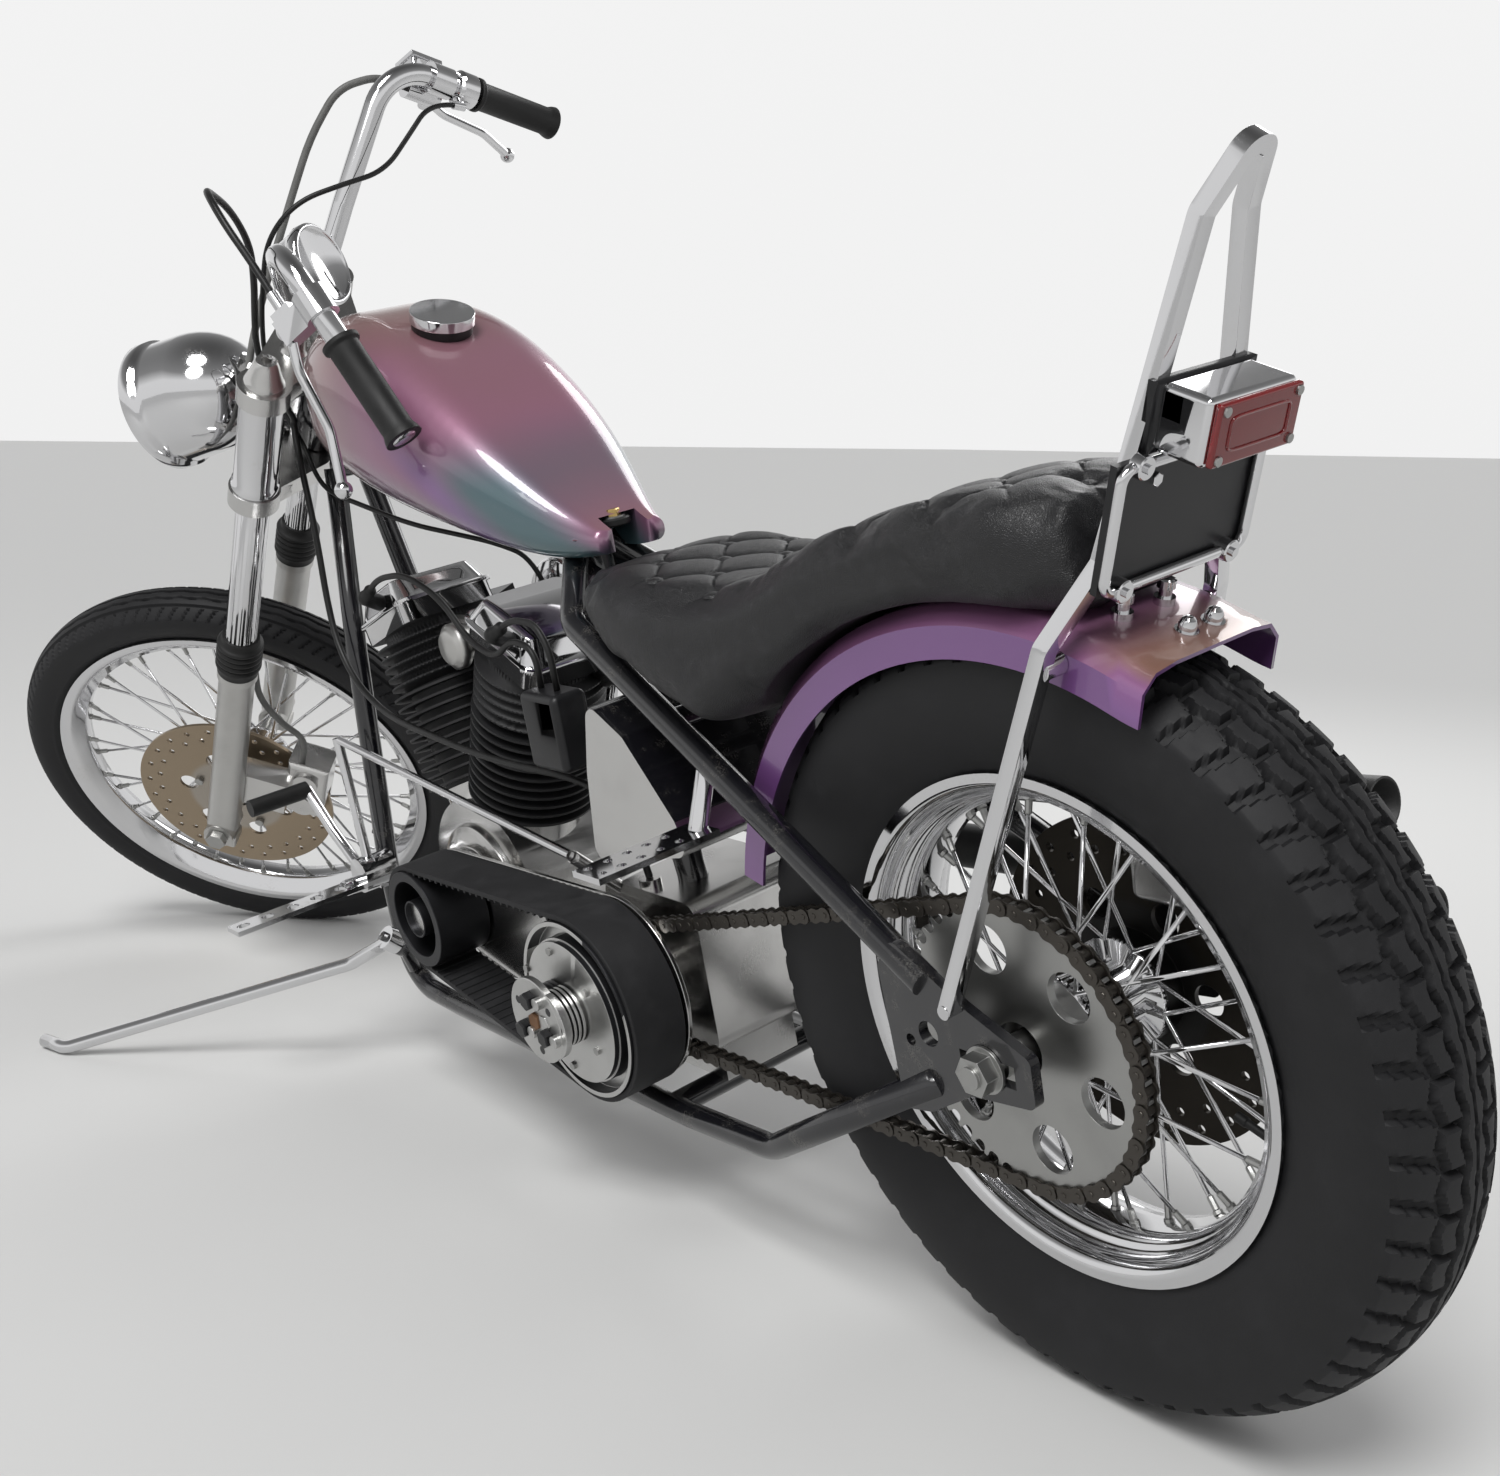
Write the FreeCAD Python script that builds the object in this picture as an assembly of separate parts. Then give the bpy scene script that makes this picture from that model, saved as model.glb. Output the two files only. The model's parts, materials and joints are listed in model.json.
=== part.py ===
import FreeCAD, Part
import math
import os

# Chopper motorcycle with a rigid rear frame, parked on its side stand with the steering
# turned left against its stop.
# The bike is modelled upright in millimetres: x forward from the rear axle, y to its left,
# z up from its own ground. The fork is modelled beside that, with z up along its legs.
# At the end both are set down leaning on the stand, with +Z up and the origin on the floor
# under the middle of the whole.

V = FreeCAD.Vector
UP = V(0, 0, 1)
LEFT = V(0, 1, 0)
FORWARD = V(1, 0, 0)

# Stance
WHEELBASE = 1646.0
RAKE = 39.8
FORK_OFFSET = 40.0
STEERING_STOP = 45.0
LEAN = 12.0

# Wheels
REAR_TYRE_RADIUS = 336.0
REAR_TYRE_WIDTH = 128.0
REAR_CROWN_RADIUS = 92.0
REAR_RIM_RADIUS = 217.0
REAR_RIM_WIDTH = 96.0
FRONT_TYRE_RADIUS = 339.0
FRONT_TYRE_WIDTH = 74.0
FRONT_CROWN_RADIUS = 44.0
FRONT_RIM_RADIUS = 280.0
FRONT_RIM_WIDTH = 62.0
RIM_WALL = 3.0
TYRE_WALL = 9.0
TYRE_FACETS = 44
SPOKE_RADIUS = 2.0
SPOKE_COUNT = 40
AXLE_RADIUS = 9.5
HUB_RADIUS = 30.0
HUB_FLANGE_RADIUS = 48.0
REAR_HUB_LENGTH = 92.0
FRONT_HUB_LENGTH = 84.0
HUB_FLANGE_THICK = 6.0
DISC_RADIUS = 146.0
DISC_THICK = 5.0
REAR_DISC_Y = -66.0
FRONT_DISC_Y = 62.0
RUNNING_FIT = 0.05
CLEAR = 0.3

# Chain drive
CHAIN_PITCH = 15.875
CHAIN_LINE_Y = 76.0
CHAIN_ROLLER_RADIUS = 5.1
CHAIN_INNER_WIDTH = 9.6
CHAIN_PLATE = 2.0
CHAIN_PLATE_HALF_HEIGHT = 7.4
REAR_TEETH = 48
GEARBOX_TEETH = 23
CHAIN_LINKS = 106
SPROCKET_THICK = 7.6
MAINSHAFT_DROP = 77.0

# Engine and primary drive
CRANK_X = 885.0
CRANK_Z = 287.0
VEE_HALF_ANGLE = 22.5
ENGINE_TILT = -3.0
CASE_RADIUS = 112.0
CASE_HALF_WIDTH = 58.0
CYLINDER_START = 128.0
CYLINDER_HEIGHT = 126.0
CYLINDER_CORE_RADIUS = 56.0
FIN_RADIUS = 76.0
FIN_THICK = 3.0
FIN_COUNT = 10
HEAD_HEIGHT = 78.0
AIR_CLEANER_RADIUS = 68.0
PUSHROD_Y = 90.0
ROCKER_HEIGHT = 46.0
BELT_INNER_Y = 92.0
BELT_WIDTH = 60.0
BELT_THICK = 6.0
FRONT_PULLEY_RADIUS = 58.0
CLUTCH_PULLEY_RADIUS = 95.0
PRESSURE_PLATE_RADIUS = 76.0

# Frame
TUBE_RADIUS = 13.0
BACKBONE_RADIUS = 19.0
NECK_RADIUS = 29.0
STEM_RADIUS = 12.7
LUG_RADIUS = 18.0
RAIL_HALF_WIDTH = 98.0
AXLE_PLATE_Y = 112.0
AXLE_PLATE_THICK = 10.0
PLATE_BORE = 5.25
PLATE_BORE_AT = V(84, 0, 338)
PLATE_WINDOW = 11.0
PLATE_WINDOW_AT = V(62, 0, 349)

# Fork, along the legs from the front axle
LEG_Y = 122.0
SLIDER_RADIUS = 24.0
SLIDER_LENGTH = 335.0
STANCHION_RADIUS = 20.5
BOOT_RADIUS = 29.0
BOOT_LENGTH = 66.0
LOWER_TREE = 636.0
UPPER_TREE = 792.0
TREE_THICK = 24.0
COVER_RADIUS = 26.5
BAR_RADIUS = 12.7
BAR_BEND = 62.0
GRIP_RADIUS = 17.0
GRIP_LENGTH = 120.0
GRIP_END = V(-205, 345, 982)
BAR_CORNER = V(-20, 210, 1066)
BAR_KNEE = V(-12, 102, 930)
BAR_BASE = V(-10, 60, 872)
BAR_LEFT = [BAR_BASE, BAR_KNEE, BAR_CORNER, GRIP_END]
BAR_POINTS = [V(p.x, -p.y, p.z) for p in BAR_LEFT[::-1]] + BAR_LEFT
GRIP_RUN = (GRIP_END - BAR_CORNER).normalize()
GRIP_START = GRIP_END - GRIP_RUN * GRIP_LENGTH
GRIP_AHEAD = V(0.527, 0.217, -0.823)
GRIP_UP = GRIP_AHEAD.cross(GRIP_RUN)
GRIP_PLACE = FreeCAD.Placement(GRIP_START, FreeCAD.Rotation(GRIP_RUN, GRIP_UP, GRIP_AHEAD, "XZY"))

# Body work
FENDER_GAP = 22.0
FENDER_RADIUS = REAR_TYRE_RADIUS + FENDER_GAP
FENDER_WIDTH = 152.0
FENDER_SHEET = 3.0
FENDER_SKIRT = 42.0
FENDER_BEHIND = 24.0
FENDER_AHEAD = 76.0
FENDER_FLARE_RADIUS = 130.0
FENDER_FLARE = 8.0
FENDER_TOP = REAR_TYRE_RADIUS + FENDER_RADIUS

# Frame tubes: points of their centre lines, in the bike's axes
RAIL_Z = 138.0
FRONT_MOUNT = V(1073, 91, 215)
BACKBONE_END = V(604, 0, 706)
RAIL_TOP = V(602, 20, 704)
RAIL_KNEE = V(548, 74, 642)
RAIL_LOW = V(62, AXLE_PLATE_Y, 392)
CRADLE_TOP = V(1122, 20, 785)
CRADLE = [CRADLE_TOP, V(1110, 52, 560), V(1082, 88, 300), V(1066, 97, 142),
          V(940, RAIL_HALF_WIDTH, 138), V(470, RAIL_HALF_WIDTH, 138), V(330, RAIL_HALF_WIDTH + 2, 148),
          V(62, AXLE_PLATE_Y, 306)]
POST_TOP = V(597, 0, 700)
POST_FOOT = V(499, 0, 172)
POST_RADIUS = 16.0

# Tank sections (x, half width, bottom, top, corner)
# Seat sections (x, half width, low, high), with heights above the fender
TANK_SECTIONS = [(1040, 50, 832, 884, 22), (1016, 80, 806, 930, 48), (960, 106, 784, 960, 70),
                 (860, 120, 756, 950, 76), (760, 116, 732, 898, 70), (660, 94, 710, 822, 48),
                 (580, 62, 698, 756, 26), (528, 40, 702, 724, 10)]
SEAT_SECTIONS = [(562, 38, -33, -21), (530, 70, -35, -10), (500, 102, -47, -2), (440, 124, -78, 6),
                 (370, 132, -104, 0), (300, 130, -128, -4), (240, 122, -88, 6), (150, 110, -30, 44),
                 (50, 104, -6, 70), (-50, 98, -8, 83), (-104, 68, -14, 76)]

# Loop behind the seat: its points, and the tilted axes of what it carries
LOOP_FOOT = V(23, 126, 384)
LOOP_KNEE = V(-93, 95, 673)
LOOP_TILT = FreeCAD.Rotation(LEFT, -19.3)
LOOP_RISE = 66.0
LOOP_PLACE = FreeCAD.Placement(V(-137, 0, FENDER_TOP + LOOP_RISE), LOOP_TILT)
LOOP_SIDE = 12.7
LOOP_LEFT = [LOOP_FOOT, LOOP_KNEE] + [LOOP_PLACE.multVec(p) for p in (V(0, 63.4, -35), V(0, 22.8, 194),
                                                                      V(-14, 8, 238))]

# Engine centre, intake and pipes
CRANK = V(CRANK_X, 0, CRANK_Z)
MANIFOLD = V(868, 0, 584)
EXHAUST_RADIUS = 22.0
EXHAUST_WALL = 2.0
EXHAUST_OPEN = 90.0

# Leads, cables and hoses: the points of their routes
FRONT_LEAD = [V(978, 84, 646), V(930, 88, 672), V(866, 85, 680), V(800, 82, 656), V(752, 82, 610),
              V(700, 83, 596), V(660, 83, 620), V(618, 83, 612), V(618, 83, 572 + CLEAR)]
REAR_LEAD = [V(694, 84, 622), V(650, 84, 642), V(606, 83, 640), V(588, 83, 614), V(588, 83, 572 + CLEAR)]
CABLE_RADIUS = 4.0
THROTTLE_CABLE_RADIUS = 3.0
HOSE_RADIUS = 4.5
CLUTCH_CABLE_LOWER = [V(1158, 43.5, 843.7), V(1140, 54, 800), V(1128, 60, 742), V(1120, 66, 690),
                      V(1116, 72, 632), V(1098, 80, 580), V(1056, 86, 536), V(992, 91, 510),
                      V(934, 94, 500), V(872, 94, 494), V(812, 92, 486), V(752, 88, 480),
                      V(694, 80, 474), V(640, 68, 470), V(592, 54, 456), V(562, 42, 414),
                      V(556, 38, 359.6)]
THROTTLE_CABLE_LOWER = [V(1176, 43.5, 858.7), V(1156, 37, 818), V(1128, 43, 780), V(1100, 43, 760),
                        V(1056, 30, 744), V(980, 8, 716), V(936, -24, 698), V(904, -58, 680),
                        V(874, -86, 656), V(868, -93, 612.5)]
CLUTCH_CABLE_UPPER = [GRIP_PLACE.multVec(V(-86.3, 0, 34)), V(0, 216, 1040), V(36, 192, 1056),
                      V(68, 156, 1062), V(80, 112, 1034), V(66, 76, 996), V(46, 62, 950),
                      V(40, 56, 900), V(38, 50, 850), V(34, 46, 800), V(14, 42, 752), V(-17.5, 39, 712)]
THROTTLE_OUTLET = GRIP_PLACE.multVec(V(-34.3, -25.6, 1.6))
THROTTLE_CABLE_UPPER = [V(THROTTLE_OUTLET.x, -THROTTLE_OUTLET.y, THROTTLE_OUTLET.z), V(-74, -212, 1030),
                        V(-66, -160, 1012), V(-56, -100, 992), V(-20, -56, 986), V(22, -20, 968),
                        V(44, 6, 925), V(42, 14, 870), V(38, 18, 820), V(30, 20, 770), V(-1, 22.5, 712)]
HOSE_OUTLET = GRIP_PLACE.multVec(V(-80.3, 0, 32))
FRONT_HOSE = [V(HOSE_OUTLET.x, -HOSE_OUTLET.y, HOSE_OUTLET.z), V(-6, -219, 1038), V(30, -186, 1026),
              V(46, -146, 976), V(50, -100, 912), V(52, -50, 850), V(52, 4, 778), V(40, 58, 700),
              V(32, 82, 610), V(16, 85, 520), V(4, 84, 420), V(-8, 84, 330), V(-22, 85, 250),
              V(-56, 82, 208), V(-92, 78, 184), V(-92, 78, 136.3)]
REAR_HOSE = [V(980, -112, 236), V(944, -113, 222), V(908, -115.5, 184), V(868, -115.5, 150),
             V(800, -115.5, 138), V(470, -115.5, 138), V(330, -117.5, 148), V(200, -121, 214),
             V(120, -124, 262), V(100, -127, 330), V(86, -128, 396), V(72, -126, 442), V(42, -106, 468),
             V(10, -94, 474), V(-25.4, -92, 474)]

# Side stand
STAND_PIVOT = V(1040, 126, 214)
STAND_AXIS = V(0, 0.73, 0.68)
STAND_REACH = 450.0
STAND_OUT = V(0.663, 0.749, 0)
STAND_TOE = V(44, 12, 0)
STAND_TUBE = 8.5

# Headlamp, in the fork's axes
HEADLAMP_AT = V(110, 0, 672)
LAMP_RADIUS = 75.0
LENS_RADIUS = 70.0
LAMP_AXIS = FreeCAD.Rotation(LEFT, RAKE).multVec(FORWARD)


def cylinder(start, axis, radius, length):
    """A round bar from a start point along an axis."""
    return Part.makeCylinder(radius, length, start, axis)


def pipe(start, axis, outer, inner, length):
    """A round bar with a bore right through."""
    return cylinder(start, axis, outer, length).cut(cylinder(start, axis, inner, length))


def block(x0, x1, y0, y1, z0, z1):
    """A box between two corners."""
    return Part.makeBox(x1 - x0, y1 - y0, z1 - z0, V(x0, y0, z0))


def both_sides(shape):
    """A shape and its mirror image on the other side of the bike."""
    return [shape, shape.mirror(V(0, 0, 0), LEFT)]


def rounded_path(points, radius, closed=False):
    """Straight runs joined by tangent arcs."""
    count = len(points)
    corners = range(count) if closed else range(1, count - 1)
    arcs = {}
    for i in corners:
        before, here, after = points[i - 1], points[i], points[(i + 1) % count]
        back, ahead = before - here, after - here
        reach_back, reach_ahead = back.Length, ahead.Length
        back.normalize()
        ahead.normalize()
        half = math.acos(max(-1.0, min(1.0, back.dot(ahead)))) / 2
        setback = min(radius / math.tan(half), 0.47 * reach_back, 0.47 * reach_ahead)
        middle = back + ahead
        middle.normalize()
        centre_reach = setback / math.cos(half)
        bend = setback * math.tan(half)
        arcs[i] = (here + back * setback, here + middle * (centre_reach - bend), here + ahead * setback)
    edges = []
    cursor = arcs[0][2] if closed else points[0]
    order = list(range(1, count)) + ([0] if closed else [])
    for i in order:
        if i in arcs:
            edges.append(Part.LineSegment(cursor, arcs[i][0]).toShape())
            edges.append(Part.Arc(*arcs[i]).toShape())
            cursor = arcs[i][2]
        else:
            edges.append(Part.LineSegment(cursor, points[i]).toShape())
    return Part.Wire(edges)


def bent_tube(points, radius, bend):
    """A round bar that follows a bent path."""
    path = rounded_path(points, bend)
    start = points[0]
    section = Part.Wire(Part.Circle(start, points[1] - start, radius).toShape())
    return path.makePipeShell([section], True, False)


def plate_side(outline, y, thick, corner=0.0):
    """A flat plate seen from the side, centred on y, from (x, z) points."""
    points = [V(x, y - thick / 2, z) for x, z in outline]
    wire = rounded_path(points, corner, True) if corner else Part.makePolygon(points + [points[0]])
    return Part.Face(wire).extrude(V(0, thick, 0))


def lathe(outline, centre=V(0, 0, 0)):
    """A closed outline of (y, radius) points turned about the y axis through a centre."""
    points = [centre + V(0, y, radius) for y, radius in outline]
    face = Part.Face(Part.makePolygon(points + [points[0]]))
    return face.revolve(centre, LEFT, 360)


def circle_holes(count, radius, hole, y, depth, turn=0.0):
    """Round cutters along y in a ring about the axle."""
    cutters = []
    for i in range(count):
        angle = math.radians(turn + 360.0 * i / count)
        at = V(radius * math.cos(angle), y, radius * math.sin(angle))
        cutters.append(cylinder(at, LEFT, hole, depth))
    return cutters


def fuse(shapes):
    """One solid from touching or crossing ones."""
    return shapes[0].multiFuse(shapes[1:]).removeSplitter() if len(shapes) > 1 else shapes[0]


def hexagon(start, axis, across, length):
    """A hexagonal nut or bolt head from a start point along an axis."""
    corner = across / math.sqrt(3)
    points = [V(corner * math.cos(k * math.pi / 3), corner * math.sin(k * math.pi / 3),
                0) for k in range(6)]
    nut = Part.Face(Part.makePolygon(points + [points[0]])).extrude(V(0, 0, length))
    nut.Placement = FreeCAD.Placement(start, FreeCAD.Rotation(UP, axis))
    return nut


def turned_about(outline, start, axis):
    """A closed outline of (along, radius) points turned about an axis from a start point."""
    points = [V(radius, 0, along) for along, radius in outline]
    body = Part.Face(Part.makePolygon(points + [points[0]])).revolve(V(0, 0, 0), UP, 360)
    body.Placement = FreeCAD.Placement(start, FreeCAD.Rotation(UP, axis))
    return body


def cable(points, radius):
    """A cable along straight runs with arcs as large as the runs allow; prints its sizes."""
    edges = []
    cursor = points[0]
    bends = []
    for before, here, after in zip(points, points[1:], points[2:]):
        back, ahead = before - here, after - here
        setback = 0.45 * min(back.Length, ahead.Length)
        back.normalize()
        ahead.normalize()
        half_inside = math.acos(max(-1.0, min(1.0, back.dot(ahead)))) / 2
        bends.append(setback * math.tan(half_inside))
        middle = back + ahead
        middle.normalize()
        sagitta = setback / math.cos(half_inside) - bends[-1]
        edges.append(Part.LineSegment(cursor, here + back * setback).toShape())
        edges.append(Part.Arc(here + back * setback, here + middle * sagitta,
                              here + ahead * setback).toShape())
        cursor = here + ahead * setback
    edges.append(Part.LineSegment(cursor, points[-1]).toShape())
    path = Part.Wire(edges)
    section = Part.Wire(Part.Circle(points[0], points[1] - points[0], radius).toShape())
    tube = path.makePipeShell([section], True, False)
    print("cable radius %.1f length %.0f volume ratio %.4f bend radii %s" % (
        radius, path.Length, tube.Volume / (math.pi * radius ** 2 * path.Length), [round(b) for b in bends]))
    return tube


def largest(shape):
    """The biggest solid of a cut shape."""
    return sorted(shape.Solids, key=lambda solid: solid.Volume)[-1]


def cut_each(shape, cutters):
    """Cut with one shape after another."""
    for cutter in cutters:
        shape = shape.cut(cutter)
    return shape


# Where the fork stands in the bike, straight ahead
RAKE_TURN = FreeCAD.Rotation(LEFT, -RAKE)
FRONT_AXLE = V(WHEELBASE, 0, FRONT_TYRE_RADIUS)
LEG_UP = RAKE_TURN.multVec(UP)
FORK_FORWARD = RAKE_TURN.multVec(FORWARD)
STEM_FOOT = FRONT_AXLE - FORK_FORWARD * FORK_OFFSET
REAR_AXLE = V(0, 0, REAR_TYRE_RADIUS)


def on_stem(height):
    """A point on the steering axis, by its height along the fork legs."""
    return STEM_FOOT + LEG_UP * height


def chain_shape_radius(teeth):
    """Pitch radius of a sprocket."""
    return CHAIN_PITCH / (2 * math.sin(math.pi / teeth))


REAR_PITCH_RADIUS = chain_shape_radius(REAR_TEETH)
GEARBOX_PITCH_RADIUS = chain_shape_radius(GEARBOX_TEETH)


def chain_length(centres):
    """Chain length in pitches, and the lean of its straight runs, for a centre distance."""
    lean = math.asin((REAR_PITCH_RADIUS - GEARBOX_PITCH_RADIUS) / centres)
    straight = math.sqrt(centres ** 2 - (REAR_PITCH_RADIUS - GEARBOX_PITCH_RADIUS) ** 2)
    rear = (math.pi + 2 * lean) / (2 * math.pi) * REAR_TEETH
    front = (math.pi - 2 * lean) / (2 * math.pi) * GEARBOX_TEETH
    return 2 * straight / CHAIN_PITCH + rear + front, lean, straight, rear, front


def solve_centres():
    """The centre distance at which a whole number of links closes the loop."""
    low, high = 450.0, 700.0
    for _ in range(60):
        middle = (low + high) / 2
        if chain_length(middle)[0] > CHAIN_LINKS:
            high = middle
        else:
            low = middle
    return (low + high) / 2


CENTRES = solve_centres()
MAINSHAFT_X = math.sqrt(CENTRES ** 2 - MAINSHAFT_DROP ** 2)
MAINSHAFT_Z = REAR_TYRE_RADIUS - MAINSHAFT_DROP
MAINSHAFT = V(MAINSHAFT_X, 0, MAINSHAFT_Z)


def chain_rollers():
    """Roller centres all round the loop, as (x, z), with the rear axle as centre."""
    total, lean, straight, rear, front = chain_length(CENTRES)
    along = math.atan2(-MAINSHAFT_DROP, MAINSHAFT_X)
    top = along + math.pi / 2 - lean
    points = []
    for link in range(CHAIN_LINKS):
        s = float(link)
        if s < rear:
            angle = top + s * 2 * math.pi / REAR_TEETH
            points.append((REAR_PITCH_RADIUS * math.cos(angle), REAR_PITCH_RADIUS * math.sin(angle)))
            continue
        s -= rear
        bottom = along - math.pi / 2 + lean
        run = straight / CHAIN_PITCH
        heading = along + lean
        if s < run:
            start = (REAR_PITCH_RADIUS * math.cos(bottom), REAR_PITCH_RADIUS * math.sin(bottom))
            reach = s * CHAIN_PITCH
            points.append((start[0] + reach * math.cos(heading), start[1] + reach * math.sin(heading)))
            continue
        s -= run
        if s < front:
            angle = bottom + s * 2 * math.pi / GEARBOX_TEETH
            points.append((MAINSHAFT_X + GEARBOX_PITCH_RADIUS * math.cos(angle),
                           -MAINSHAFT_DROP + GEARBOX_PITCH_RADIUS * math.sin(angle)))
            continue
        s -= front
        heading = along - lean + math.pi
        start = (MAINSHAFT_X + GEARBOX_PITCH_RADIUS * math.cos(top),
                 -MAINSHAFT_DROP + GEARBOX_PITCH_RADIUS * math.sin(top))
        reach = s * CHAIN_PITCH
        points.append((start[0] + reach * math.cos(heading), start[1] + reach * math.sin(heading)))
    return points, top


def tyre(radius, width, crown, rim_radius, rim_width, down):
    """A tyre carcass of flat facets, hollow inside, with one corner of its tread facing down."""
    half_tread = 0.40 * width
    drop = crown - math.sqrt(crown ** 2 - half_tread ** 2)
    quarter = crown - math.sqrt(crown ** 2 - (half_tread / 2) ** 2)
    shoulder = (half_tread, radius - drop)
    bead = (rim_width / 2 - 6.8, rim_radius - 12.0)
    bulge = (width / 2, (shoulder[1] + bead[1]) / 2 + 4)
    lip = (rim_width / 2 - 4.6, rim_radius + 2.5)
    inner_top = (half_tread - TYRE_WALL, radius - drop - TYRE_WALL)
    half = [(half_tread / 2, radius - quarter), shoulder, bulge, lip, bead, inner_top]
    outline = [(0, radius)] + half + [(-y, r) for y, r in half[::-1]]
    start = math.atan2(down.z, down.x)
    rings = []
    for k in range(TYRE_FACETS):
        angle = start + 2 * math.pi * k / TYRE_FACETS
        rings.append([V(r * math.cos(angle), y, r * math.sin(angle)) for y, r in outline])
    faces = []
    for k in range(TYRE_FACETS):
        here, there = rings[k - 1], rings[k]
        for j in range(len(outline)):
            corners = [here[j - 1], here[j], there[j], there[j - 1]]
            faces.append(Part.Face(Part.makePolygon(corners + [corners[0]])))
    shell = Part.makeShell(faces)
    shell.sewShape()
    solid = Part.Solid(shell)
    return solid if solid.Volume > 0 else solid.reversed()


def rim(radius, width):
    """A steel drop-centre rim."""
    half = width / 2
    outer = [(half, radius), (half - 4, radius), (half - 6, radius - 13), (half * 0.55, radius - 15),
             (half * 0.38, radius - 27), (0, radius - 29)]
    inner = [(0, radius - 29 - RIM_WALL), (half * 0.42, radius - 27 - RIM_WALL),
             (half * 0.60, radius - 15 - RIM_WALL), (half - 3, radius - 13 - RIM_WALL), (half, radius - 8)]
    right = [(-y, r) for y, r in outer[:-1]]
    right_inner = [(-y, r) for y, r in inner[1:]]
    outline = outer + right[::-1] + right_inner[::-1] + inner
    return lathe(outline)


def spoked_hub(length, rim_seat):
    """A hub with two flanges and its crossed spokes."""
    half = length / 2
    solids = [pipe(V(0, -half, 0), LEFT, HUB_RADIUS, AXLE_RADIUS + RUNNING_FIT, length)]
    for side in (1, -1):
        y = side * (half - HUB_FLANGE_THICK)
        solids.append(pipe(V(0, y - HUB_FLANGE_THICK / 2, 0), LEFT, HUB_FLANGE_RADIUS,
                           AXLE_RADIUS + RUNNING_FIT, HUB_FLANGE_THICK))
        for i in range(SPOKE_COUNT // 2):
            base = 360.0 * i / (SPOKE_COUNT // 2) + (9 if side > 0 else 0)
            swing = 50 if i % 2 else -50
            a, b = math.radians(base), math.radians(base + swing * 0.62)
            root = HUB_FLANGE_RADIUS - 5
            start = V(root * math.cos(b), y, root * math.sin(b))
            end = V(rim_seat * math.cos(a), side * 5.0, rim_seat * math.sin(a))
            run = end - start
            solids.append(cylinder(start, run, SPOKE_RADIUS, run.Length))
    return fuse(solids)


def rear_tyre():
    """Rear tyre about the y axis."""
    down = STAND_TURN.inverted().multVec(-UP)
    return tyre(REAR_TYRE_RADIUS, REAR_TYRE_WIDTH, REAR_CROWN_RADIUS, REAR_RIM_RADIUS, REAR_RIM_WIDTH, down)


def rear_rim():
    return rim(REAR_RIM_RADIUS, REAR_RIM_WIDTH)


def rear_hub():
    return spoked_hub(REAR_HUB_LENGTH, REAR_RIM_RADIUS - 29 - RIM_WALL - CLEAR)


def rear_sprocket():
    """Final drive sprocket, its teeth in the gaps between the chain's rollers."""
    points, top = chain_rollers()
    thick = SPROCKET_THICK
    blank = pipe(V(0, CHAIN_LINE_Y - thick / 2, 0), LEFT, REAR_PITCH_RADIUS + 4.0,
                 AXLE_RADIUS + 14, thick)
    cutters = []
    for i in range(REAR_TEETH):
        angle = top + 2 * math.pi * i / REAR_TEETH
        at = V(REAR_PITCH_RADIUS * math.cos(angle), CHAIN_LINE_Y - thick,
               REAR_PITCH_RADIUS * math.sin(angle))
        outward = V(math.cos(angle), 0, math.sin(angle))
        cutters.append(cylinder(at, LEFT, CHAIN_ROLLER_RADIUS + 0.4, 2 * thick))
        cutters.append(cylinder(at + outward * 5, LEFT, CHAIN_ROLLER_RADIUS + 1.5, 2 * thick))
    cutters += circle_holes(6, 84.0, 21.0, CHAIN_LINE_Y - thick, 2 * thick, 15)
    spacer_start = REAR_HUB_LENGTH / 2 - HUB_FLANGE_THICK / 2
    spacer = pipe(V(0, spacer_start, 0), LEFT, HUB_FLANGE_RADIUS, HUB_RADIUS + CLEAR,
                  CHAIN_LINE_Y - thick / 2 - spacer_start)
    return blank.cut(Part.makeCompound(cutters)).fuse(spacer)


def brake_disc(y, side, hub_half):
    """A drilled disc on its carrier."""
    ring = pipe(V(0, y - DISC_THICK / 2, 0), LEFT, DISC_RADIUS, 96.0, DISC_THICK)
    carrier = pipe(V(0, y - DISC_THICK / 2, 0), LEFT, 96.5, AXLE_RADIUS + 12, DISC_THICK)
    holes = circle_holes(24, 116.0, 4.0, y - DISC_THICK, 2 * DISC_THICK)
    holes += circle_holes(24, 132.0, 4.0, y - DISC_THICK, 2 * DISC_THICK, 7.5)
    holes += circle_holes(6, 72.0, 14.0, y - DISC_THICK, 2 * DISC_THICK)
    inner = side * (hub_half - HUB_FLANGE_THICK / 2)
    gap = y - side * DISC_THICK / 2
    low = min(inner, gap)
    boss = pipe(V(0, low, 0), LEFT, HUB_FLANGE_RADIUS, HUB_RADIUS + CLEAR, abs(gap - inner))
    return ring.fuse([carrier]).cut(Part.makeCompound(holes)).fuse(boss)


def rear_disc():
    return brake_disc(REAR_DISC_Y, -1, REAR_HUB_LENGTH / 2)


def front_tyre():
    """Front tyre about the y axis, in the fork's axes."""
    down = STAND_TURN.multiply(STEER_TURN).multiply(RAKE_TURN).inverted().multVec(-UP)
    return tyre(FRONT_TYRE_RADIUS, FRONT_TYRE_WIDTH, FRONT_CROWN_RADIUS, FRONT_RIM_RADIUS, FRONT_RIM_WIDTH,
                down)


def front_rim():
    return rim(FRONT_RIM_RADIUS, FRONT_RIM_WIDTH)


def front_hub():
    return spoked_hub(FRONT_HUB_LENGTH, FRONT_RIM_RADIUS - 29 - RIM_WALL - CLEAR)


def front_disc():
    return brake_disc(FRONT_DISC_Y, 1, FRONT_HUB_LENGTH / 2)


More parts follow.
